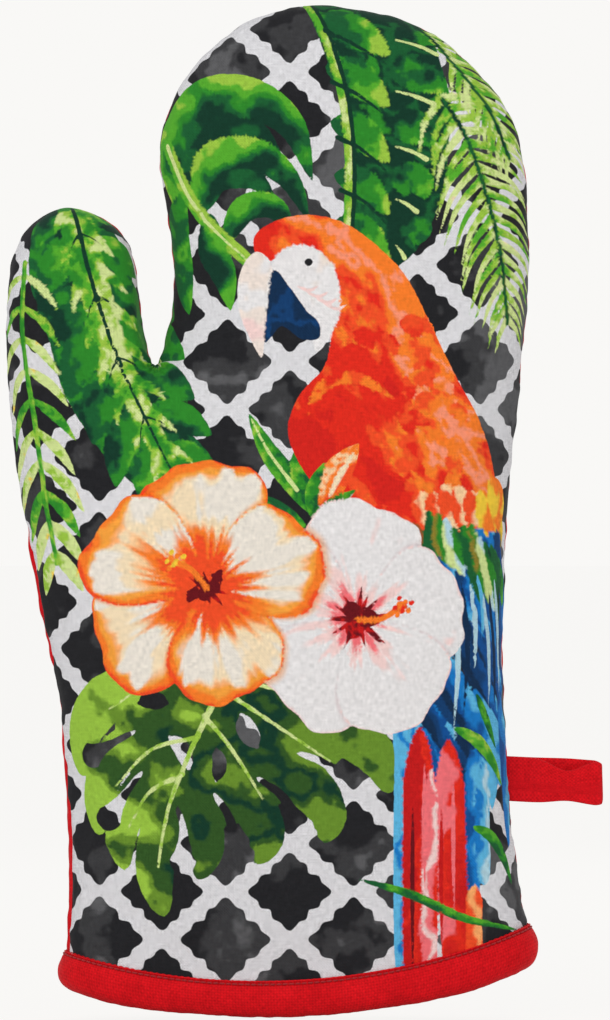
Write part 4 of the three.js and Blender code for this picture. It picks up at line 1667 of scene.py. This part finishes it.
def make_world():
    world = bpy.data.worlds.new("studio")
    bpy.context.scene.world = world
    world.use_nodes = True
    tree = world.node_tree
    seen = tree.nodes["Background"]
    fill = tree.nodes.new("ShaderNodeBackground")
    for node, colour, strength in ((seen, BACKGROUND, 1.0), (fill, (1, 1, 1), WORLD_LIGHT)):
        node.inputs[0].default_value = (*colour, 1)
        node.inputs[1].default_value = strength
    ray = tree.nodes.new("ShaderNodeLightPath")
    mixed = tree.nodes.new("ShaderNodeMixShader")
    tree.links.new(ray.outputs["Is Camera Ray"], mixed.inputs[0])
    tree.links.new(fill.outputs[0], mixed.inputs[1])
    tree.links.new(seen.outputs[0], mixed.inputs[2])
    tree.links.new(mixed.outputs[0], tree.nodes["World Output"].inputs[0])


def make_floor():
    """A pale floor that is as bright as the background, with a trace of contact shadow."""
    corners = [(x * FLOOR_REACH, y * FLOOR_REACH, FLOOR_Z)
               for x, y in ((-1, -1), (1, -1), (1, 1), (-1, 1))]
    floor = mesh_object("floor", corners, [(0, 1, 2, 3)])
    nodes = Nodes("floor")
    nodes.set(nodes.shader.inputs["Base Color"], ink(232, 231, 229))
    nodes.set(nodes.shader.inputs["Roughness"], 0.9)
    glow = nodes.add("Emission")
    nodes.set(glow.inputs["Color"], BACKGROUND)
    nodes.set(glow.inputs["Strength"], FLOOR_GLOW)
    blend = nodes.add("MixShader")
    ray = nodes.add("LightPath")
    share = nodes.math("MULTIPLY", ray.outputs["Is Camera Ray"], FLOOR_GLOW_SHARE)
    nodes.set(blend.inputs[0], share)
    nodes.set(blend.inputs[1], nodes.shader.outputs[0])
    nodes.set(blend.inputs[2], glow.outputs[0])
    nodes.set(nodes.tree.nodes["Material Output"].inputs[0], blend.outputs[0])
    floor.data.materials.append(nodes.material)


def area_light(name, place, size, watts):
    light = bpy.data.lights.new(name, "AREA")
    light.size = size
    light.energy = watts
    obj = link(name, light)
    obj.location = place
    aim = Vector(LIGHTS_AIM) - Vector(place)
    obj.rotation_euler = aim.to_track_quat("-Z", "Y").to_euler()


def make_stage():
    make_world()
    make_floor()
    for light in LIGHTS:
        area_light(*light)
    camera = bpy.data.cameras.new("camera")
    camera.lens = CAMERA_LENS
    obj = link("camera", camera)
    obj.location = (CAMERA_X, -CAMERA_LENS * DISTANCE_PER_LENS, CAMERA_Z)
    obj.rotation_euler = (math.radians(90), 0, 0)
    bpy.context.scene.camera = obj
    bpy.context.scene.view_settings.view_transform = "Standard"


# ---- the object ------------------------------------------------------------------------

make_stage()

front_panel, front_flat = shell("front_panel", FRONT, "front_shell")
back_panel = shell("back_panel", BACK, "back_shell")[0]
linings = [make_lining("front_lining_cloth", FRONT, "front_lining"),
           make_lining("back_lining_cloth", BACK, "back_lining")]
pads = [make_wadding("front_pad", FRONT, "front_wadding"),
        make_wadding("back_pad", BACK, "back_wadding")]
binding = make_binding()
needle_row = make_cuff_stitches("needle_stitches", -1.0, 1, "binding_needle_thread")
bobbin_row = make_cuff_stitches("bobbin_stitches", 7.2, -1, "binding_bobbin_thread")
loop_strip = make_loop()

red = dyed_cotton("red_cotton", ink(214, 18, 28), ink(200, 13, 23))
bound = dyed_cotton("binding_cotton", ink(222, 18, 28), ink(200, 10, 20), BINDING_THREADS)
natural = dyed_cotton("lining_cotton", ink(226, 222, 212), ink(216, 211, 200))
dress(front_panel, printed_cotton(print_front(front_panel, front_flat)))
dress(back_panel, red)
dress(binding, bound)
dress(loop_strip, bound)
for lining in linings:
    dress(lining, natural)
fluff = wadding_material()
for pad in pads:
    dress(pad, fluff)
dark_thread = thread_material("red_thread", ink(178, 12, 22), ink(140, 8, 16))
pale_thread = thread_material("pale_thread", ink(222, 218, 208), ink(196, 190, 178))
for row in (needle_row, bobbin_row):
    dress(row, dark_thread)
for name in ("shell_seam_thread", "lining_seam_thread"):
    dress(frame["nodes"][name], pale_thread)
